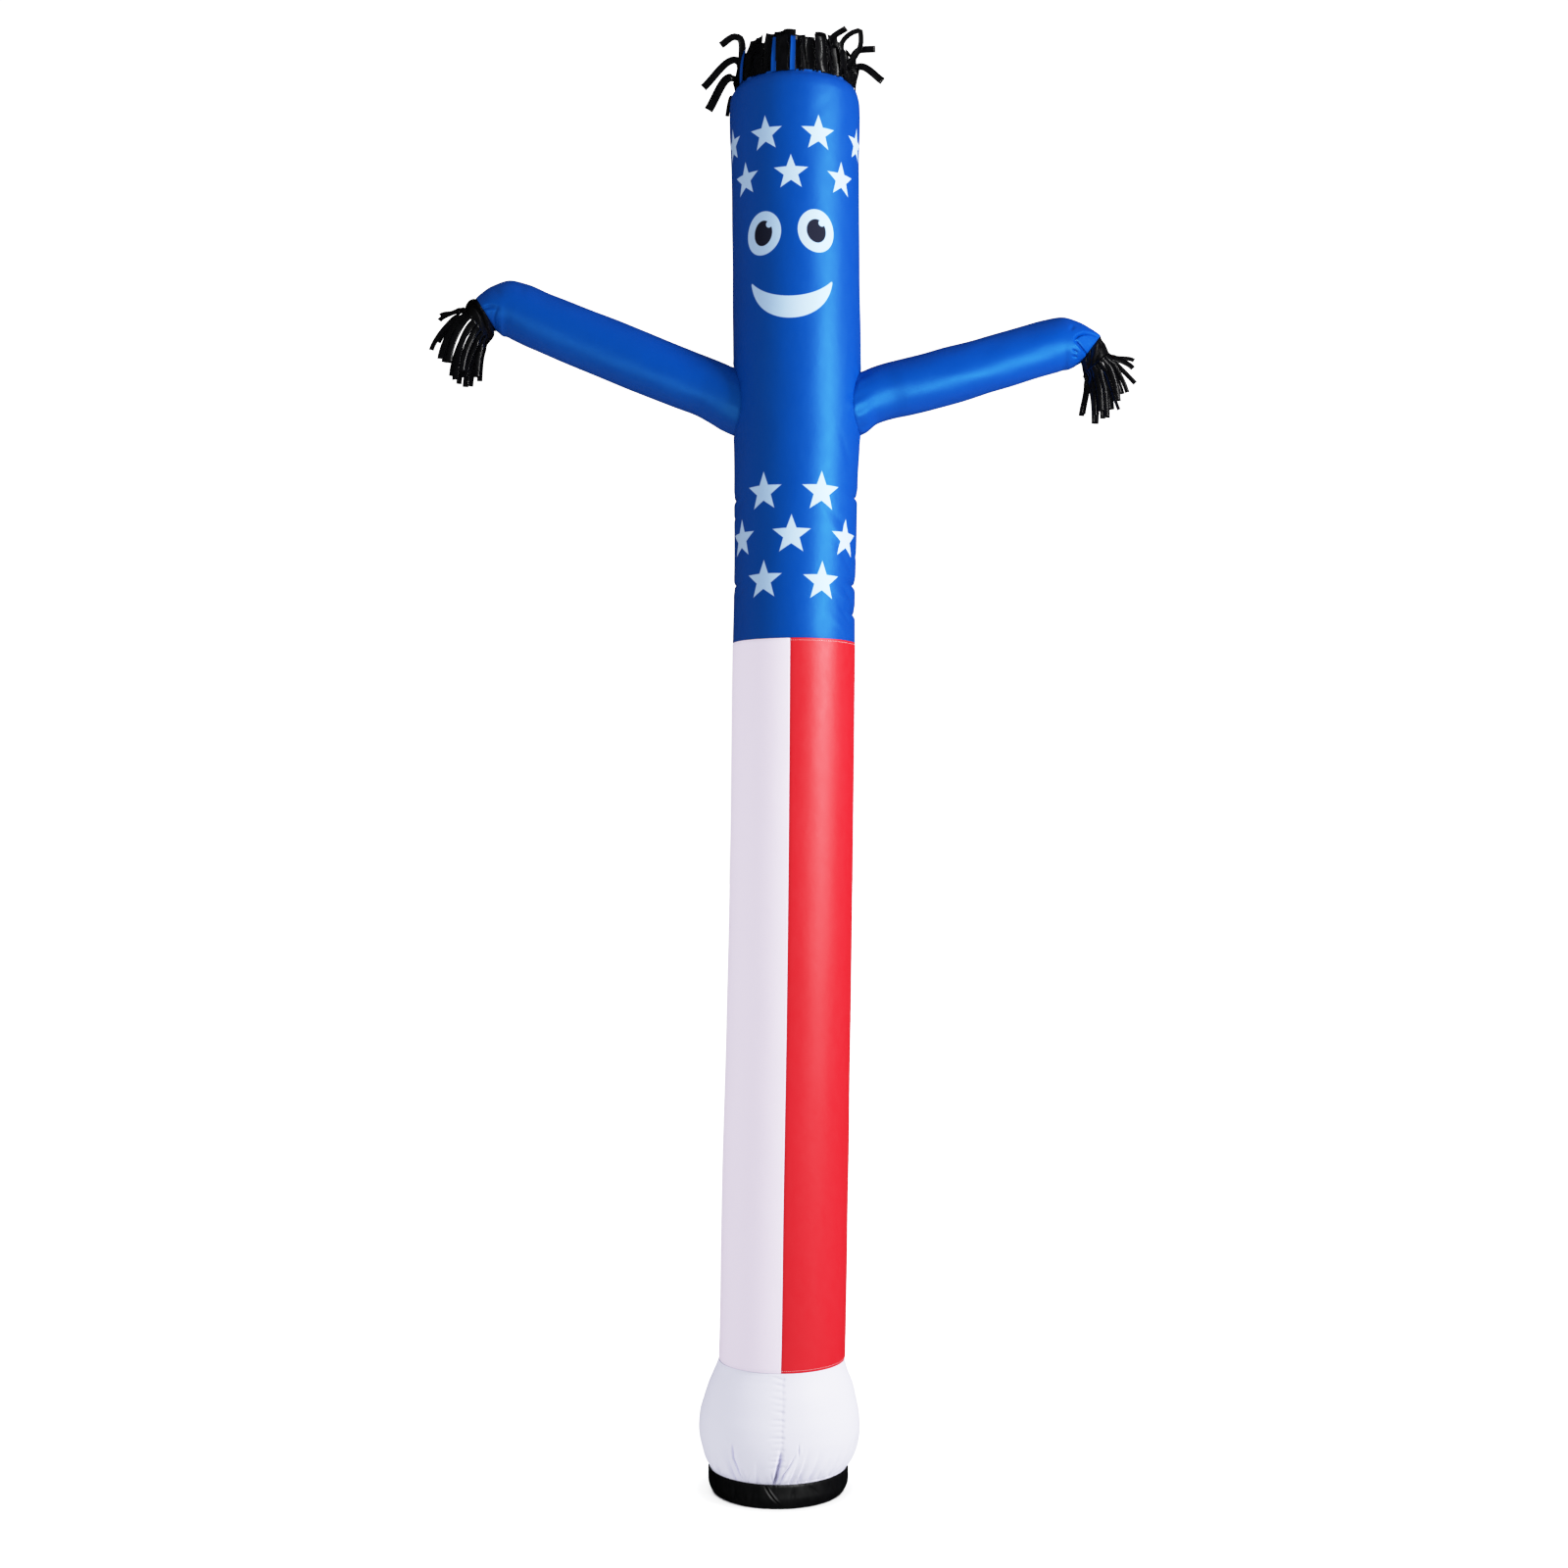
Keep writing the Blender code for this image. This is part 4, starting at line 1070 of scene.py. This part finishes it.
class Gathered:
    """Many small parts in one mesh."""

    def __init__(self):
        self.points, self.faces, self.uvs, self.count = [], [], [], 0

    def gather(self, points, faces, uvs):
        """Corners without a place in uvs, the last ones, lie at its origin."""
        self.points.append(points.reshape(-1, 3))
        self.faces.append(faces + self.count)
        self.uvs += [uvs, np.zeros((faces.size - len(uvs), 2))]
        self.count += len(self.points[-1])

    def add_ribbon(self, path, side, width, curl, taper):
        """Side is the direction across the ribbon at each point of its path; curl bows it."""
        ahead = unit(np.gradient(path, axis=0))
        side = square_to(ahead, side)[:, None]
        normal = np.cross(ahead[:, None], side)
        steps = lengths(path)
        half = (width / 2 * (1 - taper * (steps / steps[-1])))[:, None, None]
        u = RIBBON_PLACES[:, None]
        outer = path[:, None] + side * half * u + normal * curl * half * (1 - u**2)
        inner = outer - normal * RIBBON_THICKNESS
        loop = np.concatenate([outer, inner[:, ::-1]], 1)
        rows, columns = loop.shape[:2]
        faces, corners = grid_faces(rows, columns, True)
        across = np.concatenate([u, u[::-1], u[:1]]).T * width / 2 + 0 * steps[:, None]
        uvs = np.stack([across, steps[:, None] + 0 * across], -1)
        k = np.arange(len(u) - 1)[:, None]
        cap = np.hstack([k, k + 1, columns - 2 - k, columns - 1 - k])
        faces = np.concatenate([faces, cap[:, ::-1], cap + (rows - 1) * columns])
        self.gather(loop, faces, uvs.reshape(-1, 2)[corners.ravel()])

    def add_ring(self, radius, low, high):
        """A low closed wall round the head, between two heights over its top."""
        lower, upper = head_ring(radius, HEAD_TOP + low), head_ring(radius, HEAD_TOP + high)
        out = unit(lower - lower.mean(0)) * RING_THICKNESS
        rows = np.stack([lower, upper, upper - out, lower - out])
        faces = grid_faces(5, HEAD_COLUMNS, True)[0] % (4 * HEAD_COLUMNS)
        self.gather(rows, faces, np.zeros((0, 2)))

    def add_stitches(self, line, out):
        """Short raised threads along a line of points."""
        steps = lengths(line)
        starts = np.arange(0, steps[-1] - STITCH_PITCH, STITCH_PITCH)

        def read(values, share):
            at = starts + STITCH_PITCH * STITCH_SHARE * share
            return np.stack([np.interp(at, steps, column) for column in values.T], -1)

        first, middle, last = (read(line, share) for share in (0.0, 0.5, 1.0))
        up = unit(read(out, 0.5)) * STITCH_WIDTH
        side = np.cross(unit(last - first), up) / 2
        top = middle + up * STITCH_BULGE
        points = np.stack([first, middle + side, top, middle - side, last], 1)
        base = np.arange(len(points))[:, None] * 5
        corners = ((0, 1, 2), (0, 2, 3), (4, 2, 1), (4, 3, 2))
        faces = np.concatenate([base + np.array(face) for face in corners])
        points = points.reshape(-1, 3)
        self.gather(points, faces, points[faces.ravel()][:, [0, 2]])

    def build(self, name, material, *nodes):
        uvs = {"Cloth": np.concatenate(self.uvs)}
        points, faces = np.concatenate(self.points), np.concatenate(self.faces)
        return finish_piece(new_object(name, points, faces, material, uvs), *nodes)


def knots(values):
    """A list of values spread evenly over a strip, read smoothly at its places."""
    rows = np.column_stack([np.linspace(0, 1, len(values)), values])
    return curve(rows, RIBBON_ROWS)


def strip_path(root, out, length, leans, sways):
    """A path that leaves root and leans from upright to out by angles along its length."""
    up = np.array([0, 0, 1.0])
    lean = np.radians(knots(leans))
    aside = np.cross(up, out)
    heading = unit(up * np.cos(lean) + out * np.sin(lean) + aside * knots(sways))
    steps = (heading[1:] + heading[:-1]) / 2 * length / (len(heading) - 1)
    return np.concatenate([[root], root + np.cumsum(steps, axis=0)]), heading


def path_through(points):
    """A smooth path through points, with its headings."""
    gone = lengths(points)
    path = curve(np.column_stack([gone / gone[-1], points]), RIBBON_ROWS)
    return path, unit(np.gradient(path, axis=0))


def turned(heading, flat, turn):
    """A direction square to the heading, turned about it."""
    return flat * np.cos(turn) + np.cross(heading, flat) * np.sin(turn)


def turned_flat(heading, side, face, sooner=0.35, twist=0.0):
    """Across a strip that leaves along side and soon turns its flat towards face."""
    first = square_to(heading, side)
    flat = unit(np.cross(heading, np.array(face, float)))
    flat = flat * np.where((flat * first).sum(1).mean() < 0, -1.0, 1.0)
    share = np.clip(RIBBON_ROWS[:, None] / sooner, 0, 1) ** 2
    flat = unit(first * (1 - share) + flat * share)
    return turned(heading, flat, math.radians(twist) * share)


HEAD_COLUMNS = 156  # round the walls that the strips stand on
HAIR_STRIPS = 28  # in each of the three rows
HAIR_WIDTH = 0.0265
HAIR_RADIUS = 0.124
HAIR_AXIS = 0.036
HAIR_MIDDLE = np.array([HAIR_AXIS, 0, HEAD_TOP - 0.003])
HAIR_OFF = 1.4  # degrees a strip stands off its place
HAIR_LEANS = ((-7, 3), (-14, 2), (-24, 0))  # added to a row's lean, up the strip
HAIR_TIPS = ((-34, 0), (-95, -45))  # lean of a straight tip, and of one that curls in
HAIR_CURLED = 0.35  # share of the tips that curl in
HAIR_SWAY = 0.07
HAIR_TWIST = 12
HAIR_CURL = (0.10, 0.36)
HAIR_TAPER = 0.06
HairRow = namedtuple("HairRow", "outset shift lean shortest longest")
HAIR_ROWS = table(
    HairRow,
    (0.0006, 0.0, 1, 0.066, 0.088), (-0.002, 0.5, -4, 0.076, 0.096),
    (-0.0046, 0.25, -7, 0.06, 0.082),
)
LOCK_OUTSET = 0.0026
BLUE_OUTSET = 0.0030
BLUE_ANGLES = (-63, -21, -3, 118, 208)
BLUE_SHAPE = ((0, -3, -8, -24), (0, 0.03, -0.03), (0, 6, 8))  # leans, sways and twists
# Strips that bend over: where each leaves the head, the places it passes, its width and the way
# its flat turns
Lock = namedtuple("Lock", "angle points width face")
LOCKS = table(
    Lock,
    (-65, [(-0.075, -0.056, 2.99), (-0.08, -0.058, 3.004), (-0.09, -0.058, 3.007),
     (-0.119, -0.058, 2.989)], 0.0145, (0, -1, 0.1)),
    (-76, [(-0.08, -0.046, 2.955), (-0.09, -0.05, 2.962), (-0.156, -0.05, 2.903)],
     0.0155, (0, -1, 0.1)),
    (-90, [(-0.092, -0.03, 2.93), (-0.099, -0.036, 2.93), (-0.146, -0.038, 2.86)],
     0.018, (0, -1, 0.1)),
    (-107, [(-0.099, 0.022, 2.91), (-0.104, 0.014, 2.892), (-0.108, 0.008, 2.864)],
     0.008, (0, -1, 0)),
    (38, [(0.104, -0.083, 2.978), (0.112, -0.085, 2.994), (0.141, -0.085, 3.014)],
     0.013, (0, -1, 0.2)),
    (56, [(0.131, -0.068, 2.985), (0.152, -0.07, 3.01), (0.17, -0.07, 3.016),
     (0.172, -0.066, 2.995), (0.144, -0.06, 2.938)], 0.0105, (0, -1, 0)),
    (75, [(0.156, -0.03, 2.972), (0.172, -0.034, 2.989), (0.203, -0.036, 2.99)],
     0.0145, (0, -1, 0.1)),
    (86, [(0.163, -0.014, 2.958), (0.172, -0.018, 2.96), (0.219, -0.02, 2.928)],
     0.015, (0, -1, 0)),
    (131, [(0.143, 0.104, 2.986), (0.15, 0.13, 2.98), (0.152, 0.152, 2.925)], 0.014, (0.3, 1, 0)),
    (173, [(0.052, 0.134, 2.985), (0.05, 0.15, 2.976), (0.047, 0.164, 2.925)], 0.015, (0, 1, 0)),
    (-139, [(-0.052, 0.106, 2.988), (-0.07, 0.126, 2.984), (-0.09, 0.146, 2.94)],
     0.014, (-0.3, 1, 0)),
)


def head_ring(radius, z):
    """Points round the head's opening."""
    angle = np.arange(HEAD_COLUMNS) * 360 / HEAD_COLUMNS
    return outwards(angle) * radius + np.array([HAIR_AXIS, 0, z])


def add_standing(strips, angle, radius, length, leans, sways, twists, width, curl, taper):
    """A strip that stands on the head's edge and turns about its heading by twists."""
    out = outwards(angle)
    path, heading = strip_path(HAIR_MIDDLE + out * radius, out, length, leans, sways)
    flat = square_to(heading, outwards(angle + 90))
    strips.add_ribbon(path, turned(heading, flat, np.radians(knots(twists))), width, curl, taper)


def hair_row(black, chance, row):
    """One row of standing strips round the head."""
    for number in range(HAIR_STRIPS):
        angle = (number + row.shift) * 360 / HAIR_STRIPS + chance.uniform(-HAIR_OFF, HAIR_OFF)
        tip = HAIR_TIPS[chance.random() < HAIR_CURLED]
        leans = [row.lean, *(row.lean + chance.uniform(*limits) for limits in HAIR_LEANS)]
        leans.append(chance.uniform(*tip))
        sways = [chance.uniform(-HAIR_SWAY, HAIR_SWAY) for _ in range(4)]
        twists = [0, *(chance.uniform(-HAIR_TWIST, HAIR_TWIST) for _ in range(3))]
        length = chance.uniform(row.shortest, row.longest)
        curl = chance.uniform(*HAIR_CURL) * (1 if chance.random() < 0.6 else -0.6)
        shape = leans, sways, twists
        radius = HAIR_RADIUS + row.outset
        add_standing(black, angle, radius, length, *shape, HAIR_WIDTH, curl, HAIR_TAPER)


def build_hair():
    """Black strips round the open head, some bent over, and a few blue ones among them."""
    chance = Random(14)
    black, blue = Gathered(), Gathered()
    black.add_ring(HAIR_RADIUS - 0.0060, -0.004, 0.004)
    blue.add_ring(HAIR_RADIUS - 0.0060 - 0.0012, 0, 0.004)
    for row in HAIR_ROWS:
        hair_row(black, chance, row)
    for lock in LOCKS:
        root = HAIR_MIDDLE + outwards(lock.angle) * (HAIR_RADIUS + LOCK_OUTSET)
        path, heading = path_through([root, *lock.points])
        across = turned_flat(heading, outwards(lock.angle + 90), lock.face)
        black.add_ribbon(path, across, lock.width, 0.16, taper=-0.04)
    for angle in BLUE_ANGLES:
        radius = HAIR_RADIUS + BLUE_OUTSET
        add_standing(blue, angle, radius, 0.076, *BLUE_SHAPE, 0.0105, 0.2, taper=0.1)
    hair_black = black.build("hair_black_strips", STRIP_BLACK, "hair_black")
    return hair_black, blue.build("hair_blue_strips", BLUE, "hair_blue")


# Where each strip of a hand starts on the cuff, as an angle from its top edge towards the front,
# and where it ends; how far it swings outwards on its way, its width and its twist
HandStrip = namedtuple("HandStrip", "angle end_x end_y end_z swing width twist")
HAND_STRIPS = {
    "left": table(
        HandStrip,
        (352, -0.7115, 0.004, 2.44, 0.1, 0.006, 40), (14, -0.7095, -0.012, 2.4245, 0.1, 0.01, 30),
        (36, -0.7235, -0.03, 2.3575, 0.16, 0.01, 20),
        (56, -0.702, -0.044, 2.3355, 0.2, 0.0125, 10),
        (76, -0.683, -0.052, 2.325, 0.22, 0.011, -10),
        (96, -0.669, -0.056, 2.289, 0.22, 0.0125, 20),
        (116, -0.656, -0.052, 2.308, 0.2, 0.0125, -16),
        (136, -0.651, -0.046, 2.296, 0.18, 0.011, 14), (156, -0.629, -0.03, 2.3, 0.12, 0.011, -10),
        (178, -0.627, -0.006, 2.31, 0.12, 0.011, 14), (198, -0.629, 0.016, 2.303, 0.12, 0.011, 10),
        (220, -0.652, 0.034, 2.296, 0.18, 0.012, -12), (244, -0.664, 0.048, 2.298, 0.2, 0.012, 12),
        (268, -0.679, 0.054, 2.306, 0.22, 0.011, -14), (292, -0.694, 0.05, 2.322, 0.2, 0.011, 10),
        (316, -0.708, 0.036, 2.348, 0.18, 0.01, -10), (334, -0.717, 0.02, 2.386, 0.14, 0.01, 20),
    ),
    "right": table(
        HandStrip,
        (350, 0.748, 0.006, 2.344, 0.02, 0.008, 20), (12, 0.743, -0.01, 2.324, 0.02, 0.01, 16),
        (34, 0.744, -0.03, 2.288, -0.34, 0.009, 20), (52, 0.726, -0.038, 2.267, 0.06, 0.0085, 16),
        (70, 0.705, -0.044, 2.247, 0.14, 0.0125, 10), (88, 0.707, -0.046, 2.229, -0.2, 0.005, 60),
        (104, 0.683, -0.046, 2.212, 0.16, 0.01, -12), (122, 0.67, -0.042, 2.226, 0.16, 0.0125, 14),
        (140, 0.66, -0.036, 2.218, 0.14, 0.0125, -10),
        (158, 0.664, -0.024, 2.224, 0.12, 0.011, 12), (176, 0.638, -0.006, 2.229, 0.1, 0.011, -8),
        (198, 0.638, 0.014, 2.229, 0.1, 0.011, 10), (222, 0.668, 0.03, 2.216, 0.14, 0.012, -12),
        (246, 0.672, 0.042, 2.218, 0.16, 0.012, 10), (270, 0.688, 0.046, 2.23, 0.16, 0.011, -10),
        (296, 0.706, 0.04, 2.248, 0.14, 0.011, 12), (322, 0.726, 0.026, 2.278, 0.1, 0.01, -10),
    ),
}
HAND_WIDER = 1.18  # times the width in the table
HAND_NARROWEST = 0.008
HAND_TWIST = 0.6  # times the twist in the table


def build_hand(side, cut_line, cuts):
    """Strips cut at the end of a cuff, each from its place on the cut line to its end."""
    strips = Gathered()
    centre = cut_line.mean(0)
    half_x, half_z = middle_and_half(cuts[1])[1]
    forward = {"left": -1, "right": 1}[side]
    away = np.cross(unit(np.array([half_x, 0, half_z])), [0, forward, 0])
    if away[2] > 0:
        away = -away
    t = RIBBON_ROWS[:, None]
    weights = (1 - t) ** 3, 3 * (1 - t) ** 2 * t, 3 * (1 - t) * t**2, t**3
    for strip in HAND_STRIPS[side]:
        place = int(np.argmin(np.abs(turn_between(SLEEVE_ANGLES, strip.angle))))
        root = cut_line[place] - away * 0.003
        end = np.array([strip.end_x, strip.end_y, strip.end_z])
        length = float(np.linalg.norm(end - root))
        lift = unit(root - end) * 0.22 + np.array([forward * strip.swing * 0.3, 0, 0.12])
        knees = root + away * length * 0.28, end + lift * length
        path = sum(weight * point for weight, point in zip(weights, (root, *knees, end)))
        heading = unit(np.gradient(path, axis=0))
        face = (0, -1, 0) if strip.angle < 180 or strip.angle > 340 else (0, 1, 0)
        side_on = np.cross(unit(root - centre), away)
        across = turned_flat(heading, side_on, face, 0.3, strip.twist * HAND_TWIST)
        width = max(strip.width * HAND_WIDER, HAND_NARROWEST)
        strips.add_ribbon(path, across, width, 0.3, taper=0.10)
    return strips.build(f"fringe_{side}_strips", STRIP_BLACK, "fringe_" + side)


# ---- Lines of stitches ----
STITCH_LIFT = 0.0003  # how far their line lies above the cloth
STITCHES_BESIDE = 0.0036  # how far they run beside the seams between the stripes


def stitch_line(angle, z, relief):
    """A line over the tube, and the directions out of it."""
    return tube_at(angle, z, relief - STITCH_LIFT), outwards(angle)


def level_line(z, relief):
    """A closed line round the tube at one height."""
    angle = np.linspace(-180, 180, 720)
    z = z + 0 * angle
    return stitch_line(angle, z, relief(angle, z))


def all_stitches():
    """The blue stitches and the white ones."""
    blue, white = Gathered(), Gathered()
    for z in (STRIPE_TOP + 0.0042, HEAD_TOP - 0.0065):
        blue.add_stitches(*level_line(z, body_relief))
    for z in (STRIPE_TOP - 0.0048, BASE_TOP + 0.0048):
        white.add_stitches(*level_line(z, stripe_relief))
    z = np.linspace(BASE_TOP + 0.006, STRIPE_TOP - 0.006, 900)
    for turn in (0, 90, 180, 270):
        angle = seam_of_stripes(z) + turn - math.degrees(STITCHES_BESIDE / STRIPE_ARC)
        white.add_stitches(*stitch_line(angle, z, stripe_relief(angle, z, STITCHES_BESIDE)))
    white.add_stitches(*level_line(BASE_TOP - 0.0045, base_relief))
    made = blue.build("stitches_blue", BLUE_THREAD)
    return made, white.build("stitches_white", WHITE_THREAD)


# ---- Studio ----
CAMERA_PLACE = (0.0121, -4.18, 1.331)
CAMERA_TILT = 1.68
FOCAL_PIXELS = 2045
PICTURE_SIDE = 1600
SENSOR = 36
FLOOR_SIDE = 60.0
FLOOR_LIGHT = 9.0
BACKDROP = 2.6
SKY_TINT = (0.96, 0.98, 1.0)
SKY = (0.80, 0.14, -0.22)  # level of the broad light, and its rise towards +X and towards the top
SHEEN_SKY = (0.002, 0.0, 0.0, 0.012)  # the same for mirrored light, and its rise to the front
# Soft panels, at an angle round the tube, a height and a distance; rays limits each to the
# broad light or to the sheen
Lamp = namedtuple("Lamp", "name azimuth height away width length power rays")
LAMPS = table(
    Lamp,
    ("key", 60, 2.2, 3.0, 1.0, 2.4, 136, "broad"), ("sheen", 57, 2.6, 3.0, 1.0, 2.8, 178, "sheen"),
    ("glint", 40, 4.2, 3.0, 0.16, 3.8, 24, "sheen"),
    ("sheen_left", -28, 0.3, 3.0, 0.9, 0.9, 34, "sheen"),
    ("sheen_right", 34, 0.4, 3.0, 2.2, 1.8, 235, "sheen"),
    ("band_sheen", 24, 0.45, 1.3, 0.25, 0.25, 9, "sheen"),
    ("fill", -75, 1.2, 3.0, 1.4, 2.6, 32, "broad"),
)
LAMPS_AXIS = 0.03
TONE_KNEE = 0.5  # tones above it are drawn in softly
TONE_TOP = 2.0
TONES = (0.06, 0.15, 0.3, TONE_KNEE, 0.65, 0.8, 1.0, 1.25, 1.5, 1.75)


def only_on(light, pieces):
    lit = bpy.data.collections.new(light.name + "_lit")
    for piece in pieces:
        lit.objects.link(piece)
    light.light_linking.receiver_collection = lit


def area_light(lamp, pieces=None):
    """A lamp turned to the tube, on some pieces alone where they are given."""
    light = bpy.data.lights.new(lamp.name, "AREA")
    light.shape = "RECTANGLE"
    light.size, light.size_y = lamp.width, lamp.length
    light.energy = lamp.power
    made = placed(lamp.name, light)
    turn = math.radians(lamp.azimuth)
    x, y = LAMPS_AXIS + lamp.away * math.sin(turn), -lamp.away * math.cos(turn)
    made.location = (x, y, lamp.height)
    made.rotation_euler = (math.pi / 2, 0, turn)
    made.visible_camera = False
    made.visible_transmission = False
    made.visible_diffuse = lamp.rays == "broad"
    made.visible_glossy = lamp.rays == "sheen"
    if pieces is not None:
        only_on(made, pieces)


def build_floor():
    """White paper with a light of its own."""
    shader = Shader("floor_paper")
    colour = shader.mix(shader.noise(3, 2), (0.93, 0.93, 0.93), (0.95, 0.95, 0.95))
    shader.set(Base_Color=colour, Roughness=0.9, Specular_IOR_Level=0.1)
    corners = np.array([(-1, -1, 0), (1, -1, 0), (1, 1, 0), (-1, 1, 0)], float) * FLOOR_SIDE
    floor = new_object("floor", corners, np.array([[0, 1, 2, 3]]), shader.material, {})
    floor.location.z = -0.0004
    floor.visible_diffuse = False
    floor.visible_glossy = False
    sun = bpy.data.lights.new("floor_light", "SUN")
    sun.energy = FLOOR_LIGHT
    sun.angle = math.radians(70)
    only_on(placed("floor_light", sun), [floor])


def build_world():
    """White behind the object, and soft light that differs for broad and for mirrored light."""
    world = bpy.data.worlds.new("studio")
    bpy.context.scene.world = world
    world.cycles.sampling_method = "NONE"
    tree = Tree(world)
    tree.tree.nodes.clear()
    x, y, z = tree.split(tree.value("ShaderNodeTexCoord", output="Generated"))
    path = tree.node("ShaderNodeLightPath")

    def sky(level, side, rise, front=0.0):
        total = x.apply("MULTIPLY_ADD", side, level)
        total = y.apply("MULTIPLY_ADD", -front, total)
        total = z.apply("MULTIPLY_ADD", rise, total)
        inputs = {"Color": SKY_TINT, "Strength": total.max(0.0)}
        return tree.value("ShaderNodeBackground", inputs)

    def either(switch, off, on):
        share = Value(tree, path.outputs[switch])
        return tree.value("ShaderNodeMixShader", {0: share, 1: off, 2: on})

    seen = tree.value("ShaderNodeBackground", {"Strength": BACKDROP})
    light = either("Is Glossy Ray", sky(*SKY), sky(*SHEEN_SKY))
    tree.node("ShaderNodeOutputWorld", {"Surface": either("Is Camera Ray", light, seen)})


def soften_tones(view):
    """Tones stay as they are up to the knee, and bright ones near white gently."""
    view.view_transform = "Standard"
    view.look = "None"
    view.use_curve_mapping = True
    mapping = view.curve_mapping
    mapping.white_level = (TONE_TOP, TONE_TOP, TONE_TOP)
    line = mapping.curves[3]
    while len(line.points) > 2:
        line.points.remove(line.points[1])
    line.points[0].location = (0, 0)
    line.points[1].location = (1, 1)
    for tone in TONES:
        over = max(tone - TONE_KNEE, 0) / (1 - TONE_KNEE)
        drawn = min(tone, 1 - (1 - TONE_KNEE) * math.exp(-over))
        line.points.new(tone / TONE_TOP, drawn)
    mapping.update()


def build_studio(whites, sleeves, others, blacks):
    scene = bpy.context.scene
    camera = placed("camera", bpy.data.cameras.new("camera"))
    camera.data.sensor_width = SENSOR
    camera.data.lens = SENSOR * FOCAL_PIXELS / PICTURE_SIDE
    camera.location = CAMERA_PLACE
    camera.rotation_euler = (math.radians(90 + CAMERA_TILT), 0, 0)
    scene.camera = camera
    build_floor()
    build_world()
    lit = {
        "sheen": others + whites, "glint": blacks, "sheen_left": sleeves[:1],
        "sheen_right": sleeves[1:], "band_sheen": blacks[:1], "fill": whites,
    }
    for lamp in LAMPS:
        area_light(lamp, lit.get(lamp.name))
    soften_tones(scene.view_settings)


# ---- All of it ----
body = build_body()
stripes = build_stripes()
bases = build_base()
band = build_band()
hair_black, hair_blue = build_hair()
arms = {}
for side, cuts in (("left", LEFT_CUFF), ("right", RIGHT_CUFF)):
    sleeve, wrist = build_sleeve(side)
    cuff, cut_line = build_cuff(side, wrist, cuts)
    arms[side] = (sleeve, cuff, build_hand(side, cut_line, cuts))
stitches = all_stitches()
sleeves = [arms[side][0] for side in arms]
reds = [stripes["stripe_red_front"], stripes["stripe_red_back"]]
whites = [stripes["stripe_white_front"], stripes["stripe_white_back"], *bases.values()]
whites.append(stitches[1])
others = [body, *reds, hair_blue, stitches[0]]
blacks = [band, hair_black] + [piece for side in arms for piece in arms[side][1:]]
build_studio(whites, sleeves, others, blacks)

for side, (sleeve, cuff, fringe) in arms.items():
    "arm_" + side
